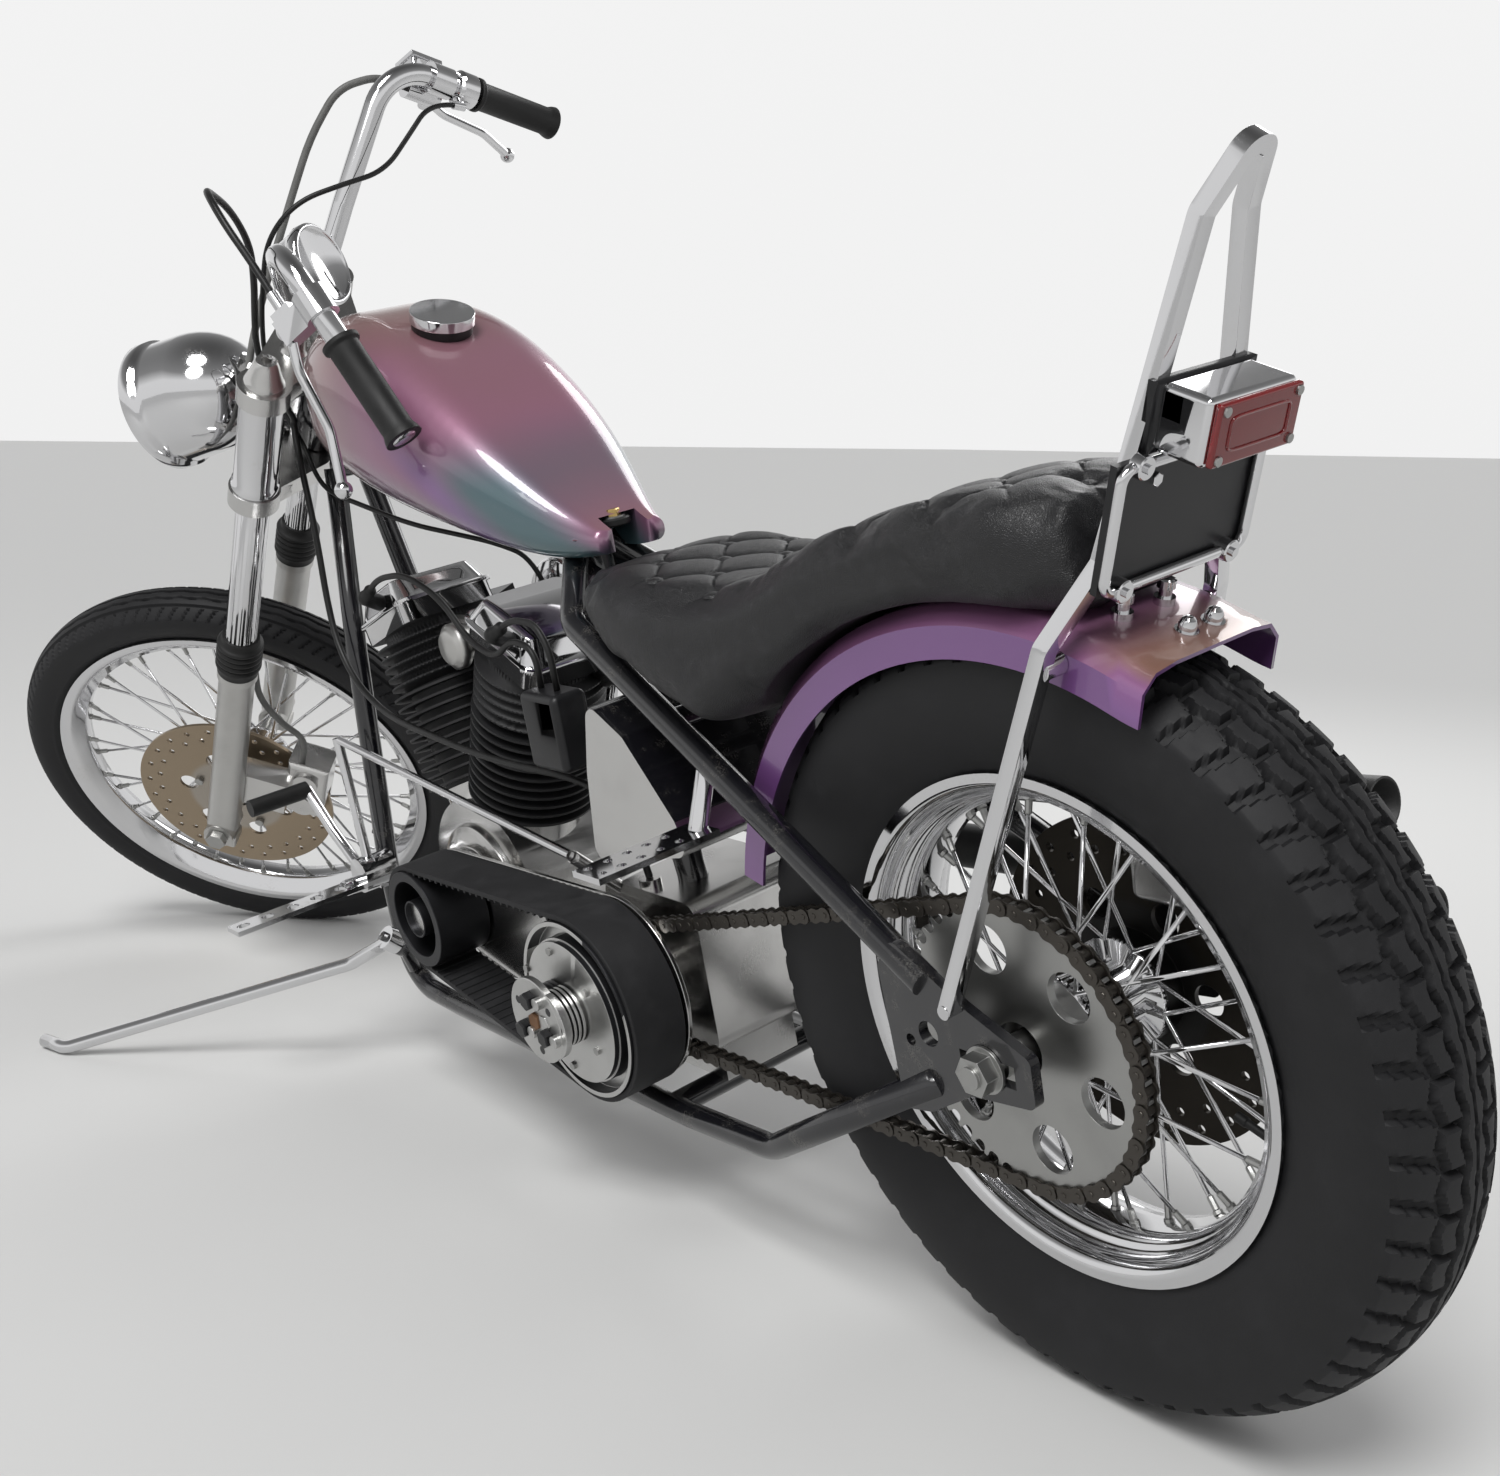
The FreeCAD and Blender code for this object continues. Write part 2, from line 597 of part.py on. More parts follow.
def drive_chain():
    """The final chain as one fixed loop: two rows of side plates and the rollers between."""
    points, top = chain_rollers()
    wire_points = [V(x, 0, z) for x, z in points]
    loop = Part.makePolygon(wire_points + [wire_points[0]])
    face = Part.Face(loop)
    outer = face.makeOffset2D(CHAIN_PLATE_HALF_HEIGHT, 2)
    inner = face.makeOffset2D(-CHAIN_PLATE_HALF_HEIGHT, 2)
    band = outer.cut(inner)
    solids = []
    for side in (1, -1):
        y = CHAIN_LINE_Y + side * (CHAIN_INNER_WIDTH / 2 + (0 if side > 0 else CHAIN_PLATE))
        row = band.copy()
        row.translate(V(0, y, 0))
        solids.append(row.extrude(V(0, CHAIN_PLATE, 0)))
    for x, z in points:
        hexagon = [V(x + CHAIN_ROLLER_RADIUS * math.cos(k * math.pi / 3),
                     CHAIN_LINE_Y - CHAIN_INNER_WIDTH / 2 - 1,
                     z + CHAIN_ROLLER_RADIUS * math.sin(k * math.pi / 3)) for k in range(6)]
        roller = Part.Face(Part.makePolygon(hexagon + [hexagon[0]])).extrude(V(0, CHAIN_INNER_WIDTH + 2, 0))
        solids.append(roller)
    chain = fuse(solids)
    chain.translate(REAR_AXLE)
    return chain


def frame_neck():
    """Steering neck and backbone down to the seat gusset."""
    low, high = on_stem(LOWER_TREE + TREE_THICK + 2), on_stem(UPPER_TREE - 2)
    neck = cylinder(low, LEG_UP, NECK_RADIUS, (high - low).Length)
    backbone = cylinder(on_stem(700.0), BACKBONE_END - on_stem(700.0), BACKBONE_RADIUS,
                        (BACKBONE_END - on_stem(700.0)).Length)
    bore = cylinder(low - LEG_UP, LEG_UP, STEM_RADIUS + RUNNING_FIT, (high - low).Length + 2)
    return fuse([neck, backbone]).cut(bore)


def down_tubes():
    """Down tubes from the neck and the lower rails back to the axle plates."""
    tubes = both_sides(bent_tube(CRADLE, TUBE_RADIUS, 70))
    bridge = cylinder(V(500, -RAIL_HALF_WIDTH, RAIL_Z), LEFT, TUBE_RADIUS, 2 * RAIL_HALF_WIDTH)
    middle = cylinder(V(CRANK_X - 105, -RAIL_HALF_WIDTH, RAIL_Z), LEFT, 11.0, 2 * RAIL_HALF_WIDTH)
    front = cylinder(FRONT_MOUNT, -LEFT, 9.0, 2 * FRONT_MOUNT.y)
    foot = V(CRADLE_TOP.x, 0, CRADLE_TOP.z)
    lug = cylinder(on_stem(706.0), foot - on_stem(706.0), LUG_RADIUS, (foot - on_stem(706.0)).Length)
    tie = cylinder(V(CRADLE_TOP.x, -CRADLE_TOP.y, CRADLE_TOP.z), LEFT, TUBE_RADIUS, 2 * CRADLE_TOP.y)
    low = on_stem(LOWER_TREE)
    neck_space = cylinder(low, LEG_UP, NECK_RADIUS, (on_stem(UPPER_TREE) - low).Length)
    return fuse(tubes + [bridge, middle, front, lug, tie, stand_bracket()]).cut((frame_neck(), neck_space))


def seat_post(radius):
    """The tube from the seat gusset down to the gearbox, or a cutter round it."""
    return cylinder(POST_TOP, POST_FOOT - POST_TOP, radius, (POST_FOOT - POST_TOP).Length)


def upper_rails():
    """Straight rails from the seat gusset to the axle plates, and the seat post."""
    tubes = both_sides(bent_tube([RAIL_TOP, RAIL_KNEE, RAIL_LOW], TUBE_RADIUS, 40))
    post = seat_post(POST_RADIUS)
    tie = cylinder(RAIL_KNEE - V(0, 2 * RAIL_KNEE.y, 0), LEFT, 12.0, 2 * RAIL_KNEE.y)
    rear_tie = cylinder(V(395, -86, 563), LEFT, 10.0, 172)
    corners = [V(600, -18, 703), V(600, 18, 703), V(567, 56, 665), V(567, -56, 665)]
    gusset = Part.Face(Part.makePolygon(corners + [corners[0]])).extrude(V(3, 0, -3))
    return largest(fuse(tubes + [post, tie, rear_tie, gusset, axle_plate(1),
                                 axle_plate(-1)]).cut(frame_neck()))


def axle_plate(side):
    """The plate that carries one end of the rear axle."""
    z = REAR_TYRE_RADIUS
    outline = [(-48, z - 22), (-48, z + 20), (20, z + 48), (92, z + 88), (112, z + 62), (104, z - 66),
               (72, z - 60), (20, z - 30)]
    plate = plate_side(outline, side * AXLE_PLATE_Y, AXLE_PLATE_THICK, 8)
    slot = block(-30, 28, side * AXLE_PLATE_Y - 20, side * AXLE_PLATE_Y + 20,
                 z - AXLE_RADIUS - CLEAR, z + AXLE_RADIUS + CLEAR)
    holes = [cylinder(V(PLATE_BORE_AT.x, side * AXLE_PLATE_Y - 20, PLATE_BORE_AT.z), LEFT, PLATE_BORE, 40),
             cylinder(V(PLATE_WINDOW_AT.x, side * AXLE_PLATE_Y - 20, PLATE_WINDOW_AT.z), LEFT,
                      PLATE_WINDOW, 40)]
    lower_tubes = both_sides(bent_tube(CRADLE, TUBE_RADIUS, 70))
    return cut_each(plate.cut(slot), lower_tubes + holes)


def rear_axle():
    """The rear axle with its nut and head, and the spacers inside the plates."""
    reach = AXLE_PLATE_Y + AXLE_PLATE_THICK / 2
    solids = [cylinder(REAR_AXLE - LEFT * (reach + 20), LEFT, AXLE_RADIUS, 2 * (reach + 20))]
    for side in (1, -1):
        start = REAR_AXLE + LEFT * (side * (reach + CLEAR))
        solids.append(cylinder(start, LEFT * side, 20.0, 3.0))
        solids.append(hexagon(start + LEFT * (side * 3), LEFT * side, 30.0, 14.0))
        inner = REAR_HUB_LENGTH / 2 + 1.0
        solids.append(cylinder(REAR_AXLE + LEFT * (side * inner), LEFT * side, 14.0,
                               AXLE_PLATE_Y - AXLE_PLATE_THICK / 2 - CLEAR - inner))
    return fuse(solids)


def rear_caliper():
    """Rear brake caliper on its bracket, astride the disc."""
    at = REAR_AXLE + V(-60, REAR_DISC_Y, 112)
    body = block(at.x - 34, at.x + 34, at.y - 34, at.y + 30, at.z - 24, at.z + 54)
    body = body.makeFillet(9, [e for e in body.Edges if e.Length > 60])
    for x in (at.x - 16, at.x + 16):
        body = body.fuse([cylinder(V(x, at.y - 34, at.z + 14), -LEFT, 13.0, 5)])
    slot = cylinder(REAR_AXLE + V(0, REAR_DISC_Y - 8, 0), LEFT, DISC_RADIUS + 6, 16)
    ring = cylinder(REAR_AXLE + V(0, REAR_DISC_Y - 28, 0), LEFT, 28.0, 10)
    bore = cylinder(REAR_AXLE + V(0, REAR_DISC_Y - 30, 0), LEFT, 14.0 + CLEAR, 14)
    arm = block(-30, 10, REAR_DISC_Y - 28, REAR_DISC_Y - 18, REAR_TYRE_RADIUS + 18, REAR_TYRE_RADIUS + 100)
    arm2 = block(-74, -20, REAR_DISC_Y - 28, REAR_DISC_Y - 18, REAR_TYRE_RADIUS + 80,
                 REAR_TYRE_RADIUS + 110)
    return fuse([body.cut(slot), arm, arm2, ring]).cut(bore)


def section_ring(x, half_width, bottom, top, corner):
    """An upright rounded section of the tank at x."""
    points = [V(x, half_width, bottom), V(x, half_width, top), V(x, -half_width, top),
              V(x, -half_width, bottom)]
    return rounded_path(points, corner, True)


def fuel_tank():
    """Teardrop tank over the backbone."""
    wires = [section_ring(*values) for values in TANK_SECTIONS]
    body = Part.makeLoft(wires, True, False)
    start = on_stem(700.0)
    run = BACKBONE_END - start
    tunnel = cylinder(start, run, BACKBONE_RADIUS + CLEAR, run.Length)
    below = tunnel.copy()
    below.translate(V(0, 0, -30))
    channel = block(500, 1150, -BACKBONE_RADIUS - 3, BACKBONE_RADIUS + 3, 600, 735)
    rails = both_sides(cylinder(RAIL_KNEE, RAIL_TOP - RAIL_KNEE, TUBE_RADIUS + 2, 130))
    return body.cut(tunnel.fuse([below, channel] + rails))


def tank_cap():
    """Round filler cap on its ring."""
    tilt = FreeCAD.Rotation(LEFT, -24)
    axis = tilt.multVec(UP)
    ring = cylinder(V(822, 0, 925), axis, 33.0, 16.0)
    cap = cylinder(V(822, 0, 925) + axis * 16, axis, 35.0, 12.0)
    return fuse([ring, cap]).cut(fuel_tank())


def seat():
    """Stepped two-seat saddle, a plain soft body over the rails and the fender."""
    wires = []
    for x, half, low, high in SEAT_SECTIONS:
        wires.append(section_ring(x, half, FENDER_TOP + low, FENDER_TOP + high,
                                  min(26.0, 0.4 * (high - low))))
    body = Part.makeLoft(wires, True, False)
    return body.cut(cylinder(REAR_AXLE - LEFT * 200, LEFT, FENDER_RADIUS + CLEAR, 400))


def fender_profile(radius):
    """Cross section of the fender sheet, as (y, radius) points."""
    half = FENDER_WIDTH / 2
    sheet = FENDER_SHEET
    outer = [(-half, radius - FENDER_SKIRT), (-half, radius - 16), (-half + 12, radius - 3),
             (-half + 34, radius),
             (half - 34, radius), (half - 12, radius - 3), (half, radius - 16), (half,
                                                                                 radius - FENDER_SKIRT)]
    inner = [(half - sheet, radius - FENDER_SKIRT), (half - sheet, radius - 17),
             (half - 13, radius - 3 - sheet), (half - 34, radius - sheet), (-half + 34, radius - sheet),
             (-half + 13, radius - 3 - sheet), (-half + sheet, radius - 17), (-half + sheet,
                                                                              radius - FENDER_SKIRT)]
    return outer + inner


def rear_fender():
    """Rear fender about the wheel, with a flared tail."""
    points = [V(0, y, r) for y, r in fender_profile(FENDER_RADIUS)]
    face = Part.Face(Part.makePolygon(points + [points[0]]))
    main = face.revolve(V(0, 0, 0), LEFT, FENDER_BEHIND + FENDER_AHEAD)
    main.rotate(V(0, 0, 0), LEFT, -FENDER_BEHIND)
    tail = face.revolve(V(0, 0, FENDER_RADIUS + FENDER_FLARE_RADIUS), LEFT, FENDER_FLARE)
    tail.rotate(V(0, 0, 0), LEFT, -FENDER_BEHIND)
    fender = main.fuse([tail])
    fender.translate(REAR_AXLE)
    return fender


def sissy_bar():
    """Square bar in a tall pointed loop, bolted to the axle plates."""
    points = LOOP_LEFT + [V(p.x, -p.y, p.z) for p in LOOP_LEFT[::-1]]
    path = rounded_path(points, 12)
    side = LOOP_SIDE / 2
    run = points[1] - points[0]
    run.normalize()
    across = run.cross(LEFT)
    across.normalize()
    other = across.cross(run)
    square = ((side, side), (-side, side), (-side, -side), (side, -side))
    corners = [points[0] + across * a + other * b for a, b in square]
    section = Part.makePolygon(corners + [corners[0]])
    bar = path.makePipeShell([section], True, False)
    outside = AXLE_PLATE_Y + AXLE_PLATE_THICK / 2 + CLEAR
    bolt = cylinder(V(LOOP_FOOT.x, outside, LOOP_FOOT.z), LEFT, 6.0, LOOP_FOOT.y + 7 - outside)
    tab_at = LOOP_FOOT + (LOOP_KNEE - LOOP_FOOT) * 0.95
    tab_start = FENDER_WIDTH / 2 + CLEAR
    tab = cylinder(V(tab_at.x, tab_start, tab_at.z), LEFT, 9.0, tab_at.y - tab_start)
    return fuse([bar] + both_sides(bolt) + both_sides(tab))


def tail_lamp():
    """Square tail lamp on a backing plate behind the legs of the loop, in the loop's tilted axes."""
    body = block(-50, -9, -46, 46, 45, 92)
    body = body.makeFillet(5, body.Edges)
    backing = block(-11, -3, -52, 52, 44, 93)
    lamp = fuse([body, backing])
    lamp.Placement = LOOP_PLACE
    return lamp.cut(sissy_bar())


def tail_lens():
    """Lens on the back of the tail lamp."""
    lens = block(-56, -50 - CLEAR, -43.4, 43.4, 47, 90)
    lens = lens.makeFillet(2, lens.Edges)
    lens.Placement = LOOP_PLACE
    return lens


def plate_frame():
    """Blank plate behind the loop's legs, framed by a round rod, in the loop's tilted axes."""
    low, high, half = -50.0, 38.6, 75.6
    rod_x, rod = -13.2, 4.0
    plate = block(-9.6, -4, -half - 2, half + 2, low - 2, high + 2)
    corners = [V(rod_x, half, low), V(rod_x, half, high), V(rod_x, -half, high), V(rod_x, -half, low)]
    path = rounded_path(corners, 10, True)
    start = path.Edges[0].valueAt(path.Edges[0].FirstParameter)
    along = path.Edges[0].tangentAt(path.Edges[0].FirstParameter)
    section = Part.Wire(Part.Circle(start, along, rod).toShape())
    edge = path.makePipeShell([section], True, False)
    plates = fuse([plate, edge])
    plates.Placement = LOOP_PLACE
    return plates.cut(sissy_bar())


def vee(side):
    """Direction of a cylinder: +1 leans forward, -1 back."""
    return FreeCAD.Rotation(LEFT, side * VEE_HALF_ANGLE + ENGINE_TILT).multVec(UP)


def crankcase():
    """Crankcase with the cam cover on its right."""
    solids = [cylinder(CRANK - LEFT * CASE_HALF_WIDTH, LEFT, CASE_RADIUS, 2 * CASE_HALF_WIDTH)]
    for side in (1, -1):
        solids.append(cylinder(CRANK, vee(side), CASE_HALF_WIDTH, CYLINDER_START))
        solids.append(block(CRANK_X + side * 40 - 28, CRANK_X + side * 40 + 28, -PUSHROD_Y - 14, -50,
                            CRANK_Z + 30, CRANK_Z + 96))
    solids.append(cylinder(CRANK + V(20, -CASE_HALF_WIDTH - 46, 30), LEFT, 82.0, 50))
    solids.append(cylinder(CRANK + V(60, -CASE_HALF_WIDTH - 66, 40), LEFT, 42.0, 24))
    solids.append(cylinder(CRANK, LEFT, 20.0, 152.0))
    cross = FRONT_MOUNT - LEFT * FRONT_MOUNT.y
    for y in (-40, 30):
        solids.append(block(CRANK_X + 60, cross.x, y, y + 10, cross.z - 16, cross.z + 40))
    solids.append(block(CRANK_X - 150, CRANK_X - 60, -40, 40, RAIL_Z + 11 + CLEAR, RAIL_Z + 92))
    return fuse(solids).cut(cylinder(FRONT_MOUNT - LEFT * 200, LEFT, 9.0 + CLEAR, 400))


def cylinders():
    """Two finned barrels."""
    barrels = []
    for side in (1, -1):
        axis = vee(side)
        start = CRANK + axis * (CYLINDER_START + CLEAR)
        solids = [cylinder(start, axis, CYLINDER_CORE_RADIUS, CYLINDER_HEIGHT - CLEAR)]
        pitch = CYLINDER_HEIGHT / FIN_COUNT
        for i in range(FIN_COUNT):
            solids.append(cylinder(start + axis * (pitch * (i + 0.4)), axis, FIN_RADIUS, FIN_THICK))
        trim = block(0, side * 400, -200, 200, -50, 400) if side > 0 else block(-400, 0, -200, 200, -50,
                                                                                400)
        trim.translate(V(side * 1.5, 0, 0))
        trim.Placement = FreeCAD.Placement(CRANK,
                                           FreeCAD.Rotation(LEFT, ENGINE_TILT)).multiply(trim.Placement)
        barrels.append(fuse(solids).common(trim))
    return Part.makeCompound([barrel.cut(crankcase()) for barrel in barrels])


def rocker_box(local_top):
    """Two-part rocker box with sloping shoulders, standing on a head at the origin."""
    outline = [V(-66, -62, 0), V(66, -62, 0), V(66, 62, 0), V(-66, 62, 0)]
    lower = Part.Face(rounded_path(outline, 18, True)).extrude(V(0, 0, 22))
    rim = Part.Face(rounded_path([p * 1.05 for p in outline], 18, True)).extrude(V(0, 0, 5))
    rim.translate(V(0, 0, 22))
    upper = Part.makeLoft([rounded_path([p + V(0, 0, 26) for p in outline], 18, True),
                           rounded_path([V(p.x * 0.72, p.y * 0.86, ROCKER_HEIGHT + 8) for p in outline],
                                        12, True)],
                          True, False)
    box = fuse([lower, rim, upper])
    box.translate(V(0, 0, local_top - 8))
    return box


def cylinder_heads():
    """Heads with their rocker boxes, joined by the inlet manifold."""
    heads = []
    for side in (1, -1):
        axis = vee(side)
        start = CRANK + axis * (CYLINDER_START + CYLINDER_HEIGHT + CLEAR)
        local = [cylinder(V(0, 0, 0), UP, 60.0, HEAD_HEIGHT)]
        for i in range(5):
            local.append(cylinder(V(0, 0, 6 + 12 * i), UP, FIN_RADIUS - 2, FIN_THICK))
        local.append(rocker_box(HEAD_HEIGHT))
        local.append(block(-34, 34, -PUSHROD_Y - 14, -56, HEAD_HEIGHT - 20, HEAD_HEIGHT + 6))
        head = fuse(local)
        head.Placement = FreeCAD.Placement(start, FreeCAD.Rotation(UP, axis))
        heads.append(head)
    manifold = cylinder(MANIFOLD - FORWARD * 65, FORWARD, 22.0, 130)
    throat = turned_about([(-78, 0), (-78, 20), (30, 20), (34, 27), (44, 27), (52, 18), (52, 0)], MANIFOLD,
                          LEFT)
    return fuse(heads + [manifold, throat])


def gearbox():
    """Gearbox behind the engine, with its mainshaft through the drive side."""
    x, z = MAINSHAFT_X, MAINSHAFT_Z
    case = block(x - 88, x + 76, -92, 52, z - 74, z + 92)
    case = case.makeFillet(20, [e for e in case.Edges if abs(e.tangentAt(e.FirstParameter).y) > 0.9])
    shaft = cylinder(MAINSHAFT, LEFT, 14.0, 176.0)
    post = seat_post(POST_RADIUS + CLEAR)
    kick = cylinder(V(x - 20, -92, z + 20), -LEFT, 40.0, 30)
    boss = cylinder(MAINSHAFT + V(0, 50, 0), LEFT, 26.0, CHAIN_LINE_Y + 2 - 50)
    sprocket = cylinder(MAINSHAFT + V(0, CHAIN_LINE_Y - SPROCKET_THICK / 2, 0), LEFT,
                        GEARBOX_PITCH_RADIUS - CHAIN_ROLLER_RADIUS - CLEAR, SPROCKET_THICK)
    arm = cylinder(V(600, 40, 335), V(0, 60, 63), 7.0, 84)
    rod_end = cylinder(V(580, 99.2, 394.9), V(470, 18, 72), 6.5, 50)
    foot = block(x - 80, x + 40, -50, 44, RAIL_Z + TUBE_RADIUS + CLEAR, z - 60)
    cap = cylinder(V(556, 38, z + 80), UP, 12.0, 20)
    return cut_each(fuse([case, shaft, kick, boss, sprocket, arm, foot, cap]), [post, rod_end])


def belt_outline(extra, y):
    """Outline round both pulleys, at a distance outside them."""
    a, b = V(CRANK_X, y, CRANK_Z), V(MAINSHAFT_X, y, MAINSHAFT_Z)
    ra, rb = FRONT_PULLEY_RADIUS + extra, CLUTCH_PULLEY_RADIUS + extra
    run = b - a
    turn = math.atan2(run.z, run.x)
    lean = math.asin((rb - ra) / run.Length)
    tops = turn - math.pi / 2 - lean
    lows = turn + math.pi / 2 + lean
    at = lambda c, r, t: c + V(r * math.cos(t), 0, r * math.sin(t))
    edges = [Part.LineSegment(at(a, ra, tops), at(b, rb, tops)).toShape(),
             Part.Arc(at(b, rb, tops), at(b, rb, turn), at(b, rb, lows)).toShape(),
             Part.LineSegment(at(b, rb, lows), at(a, ra, lows)).toShape(),
             Part.Arc(at(a, ra, lows), at(a, ra, turn + math.pi), at(a, ra, tops)).toShape()]
    return Part.Face(Part.Wire(edges))


def primary_belt():
    """Wide toothed belt of the open primary drive, as one loop."""
    y = BELT_INNER_Y + 3
    outer = belt_outline(CLEAR + BELT_THICK, y).extrude(V(0, BELT_WIDTH, 0))
    inner = belt_outline(CLEAR, y).extrude(V(0, BELT_WIDTH, 0))
    return outer.cut(inner)


def front_pulley():
    """Crankshaft pulley with its flanges and open mouth."""
    width = BELT_WIDTH + 6
    start = CRANK + V(0, BELT_INNER_Y, 0)
    body = pipe(start, LEFT, FRONT_PULLEY_RADIUS, 20.2, width)
    mouth = pipe(start + V(0, 24, 0), LEFT, 46.0, 22.5, width)
    return body.cut(mouth)


def clutch():
    """Clutch basket with its pulley, pressure plate, spring boss and studded outer plate."""
    width = BELT_WIDTH + 6
    start = MAINSHAFT + V(0, BELT_INNER_Y, 0)
    basket = pipe(start, LEFT, CLUTCH_PULLEY_RADIUS, 14.2, width)
    recess = pipe(start + V(0, width - 14, 0), LEFT, CLUTCH_PULLEY_RADIUS - 5, PRESSURE_PLATE_RADIUS + 2,
                  20)
    solids = [basket.cut(recess), pipe(start + V(0, width, 0), LEFT, PRESSURE_PLATE_RADIUS, 14.2, 6),
              pipe(start + V(0, width + 6, 0), LEFT, 26.0, 14.2, 24)]
    for i in range(4):
        solids.append(pipe(start + V(0, width + 8 + 5.5 * i, 0), LEFT, 31.0, 14.2, 3.4))
    plate = pipe(start + V(0, width + 30, 0), LEFT, 38.0, 7.0, 7)
    slots = [block(-32, -18, -1, width, -3, 3), block(18, 32, -1, width, -3, 3)]
    for slot in slots:
        slot.translate(start + V(0, width + 25, 0))
    solids.append(cut_each(plate, slots))
    for i in range(3):
        angle = math.radians(90 + 120 * i)
        stud_at = start + V(24 * math.cos(angle), width + 37, 24 * math.sin(angle))
        solids.append(cylinder(stud_at, LEFT, 6.5, 7))
    solids.append(hexagon(start + V(0, width + 31, 0), LEFT, 18.0, 8))
    return fuse(solids)


def primary_plate():
    """Polished inner plate that ties the engine to the gearbox."""
    face = belt_outline(4.0, 84.5)
    plate = face.extrude(V(0, 5, 0))
    plate = plate.cut(cylinder(CRANK, LEFT, 20.4, 100))
    plate = plate.cut(cylinder(MAINSHAFT, LEFT, 14.4, 100))
    cover = turned_about([(0, 20.4), (0, 84), (7, 82), (12, 70), (12, 58), (18, 56), (26.2, 50),
                          (26.2, 20.4)],
                         CRANK + V(0, CASE_HALF_WIDTH + CLEAR, 0), LEFT)
    return plate.fuse(cover)


def oil_tank():
    """Oil tank between the seat post and the fender, under the seat."""
    outline = [(546, 402), (530, 500), (508, 574), (455, 545), (392, 470), (380, 436)]
    body = plate_side(outline, 0, 204, 14)
    lug = block(520, 572, -20, 20, 446, 476)
    rails = both_sides(cylinder(RAIL_KNEE, RAIL_LOW - RAIL_KNEE, TUBE_RADIUS + 2, 560))
    tie = cylinder(V(395, -100, 563), LEFT, 13.0, 200)
    around = cylinder(REAR_AXLE - LEFT * 200, LEFT, FENDER_RADIUS + CLEAR, 400)
    return cut_each(body.fuse(lug), rails + [seat_post(POST_RADIUS + CLEAR), tie, around])


def exhausts():
    """Two pipes that run back along the right side."""
    front = [V(1008, -52, 560), V(1070, -92, 520), V(1082, -150, 420), V(1020, -176, 330),
             V(880, -178, 325),
             V(-205, -172, 398)]
    rear = [V(706, -48, 548), V(672, -62, 556), V(640, -110, 530), V(616, -162, 460), V(540, -176, 420),
            V(-170, -172, 482)]
    pipes = []
    for points, bend in ((front, 50), (rear, 40)):
        run = points[-2] - points[-1]
        tail = cylinder(points[-1], run, EXHAUST_RADIUS - EXHAUST_WALL, EXHAUST_OPEN)
        pipes.append(bent_tube(points, EXHAUST_RADIUS, bend).cut(tail).cut(cylinder_heads()))
    return Part.makeCompound(pipes)


def air_cleaner():
    """Carburettor and round air cleaner on the right."""
    start = MANIFOLD - LEFT * (78 + CLEAR)
    body = turned_about([(0, 0), (0, 24), (10, 28), (22, 28), (24, 44), (26, AIR_CLEANER_RADIUS - 4),
                         (30, AIR_CLEANER_RADIUS), (34, AIR_CLEANER_RADIUS), (36, AIR_CLEANER_RADIUS - 4),
                         (62, AIR_CLEANER_RADIUS - 4), (64, AIR_CLEANER_RADIUS), (68, AIR_CLEANER_RADIUS),
                         (74, AIR_CLEANER_RADIUS - 10), (78, 30), (79, 0)], start, -LEFT)
    bowl = cylinder(start - LEFT * 16 - UP * 58, UP, 19.0, 50)
    return body.fuse([bowl]).cut(cylinder_heads())


def pushrods():
    """Pushrod tubes on the right of each cylinder, from the cam cover to the heads."""
    tubes = []
    for side in (1, -1):
        for shift in (-14, 14):
            foot = CRANK + V(side * 40 + shift, -PUSHROD_Y, 88)
            head = CRANK + vee(side) * (CYLINDER_START + CYLINDER_HEIGHT + 68) + V(shift, -PUSHROD_Y, 0)
            tube = cylinder(foot, head - foot, 9.0, (head - foot).Length)
            tubes.append(cut_each(tube, [crankcase(), cylinder_heads()]))
    return Part.makeCompound(tubes)


def coil_box():
    """Ignition coil on the left of the rear cylinder, on a stay from the seat post."""
    box = block(566, 634, 62, 104, 490, 572)
    box = box.makeFillet(8, box.Edges)
    stay = cylinder(V(580, 0, 540), LEFT, 7.0, 70)
    return box.fuse(stay).cut(seat_post(POST_RADIUS + CLEAR))


def ignition_leads():
    """Plug boots on the heads and their leads to the coil."""
    leads = []
    for points in (FRONT_LEAD, REAR_LEAD):
        lead = cable(points, 3.5)
        out = points[0] - points[1]
        out.normalize()
        foot = points[0] + V(out.x * 14, 62.3 - points[0].y, out.z * 14 - 6)
        boot = cylinder(foot, points[0] - foot, 9.5, (points[0] - foot).Length)
        elbow = Part.makeSphere(9.5, points[0])
        sleeve = cylinder(points[0], points[1] - points[0], 7.0, 22)
        leads.append(fuse([boot, elbow, sleeve, lead]).cut(cylinder_heads()))
    return Part.makeCompound(leads)


# Cables: the fork's stretches end between the trees, where the frame's begin


def frame_cables():
    """The frame's stretches of the clutch and throttle cables."""
    throttle = cable(THROTTLE_CABLE_LOWER, THROTTLE_CABLE_RADIUS)
    return Part.makeCompound([cable(CLUTCH_CABLE_LOWER, CABLE_RADIUS), throttle])


def foot_controls():
    """Brackets, pegs and levers in front of the engine, and the rod back to the gearbox."""
    return Part.makeCompound([forward_controls(1).fuse(shift_rod()), forward_controls(-1)])


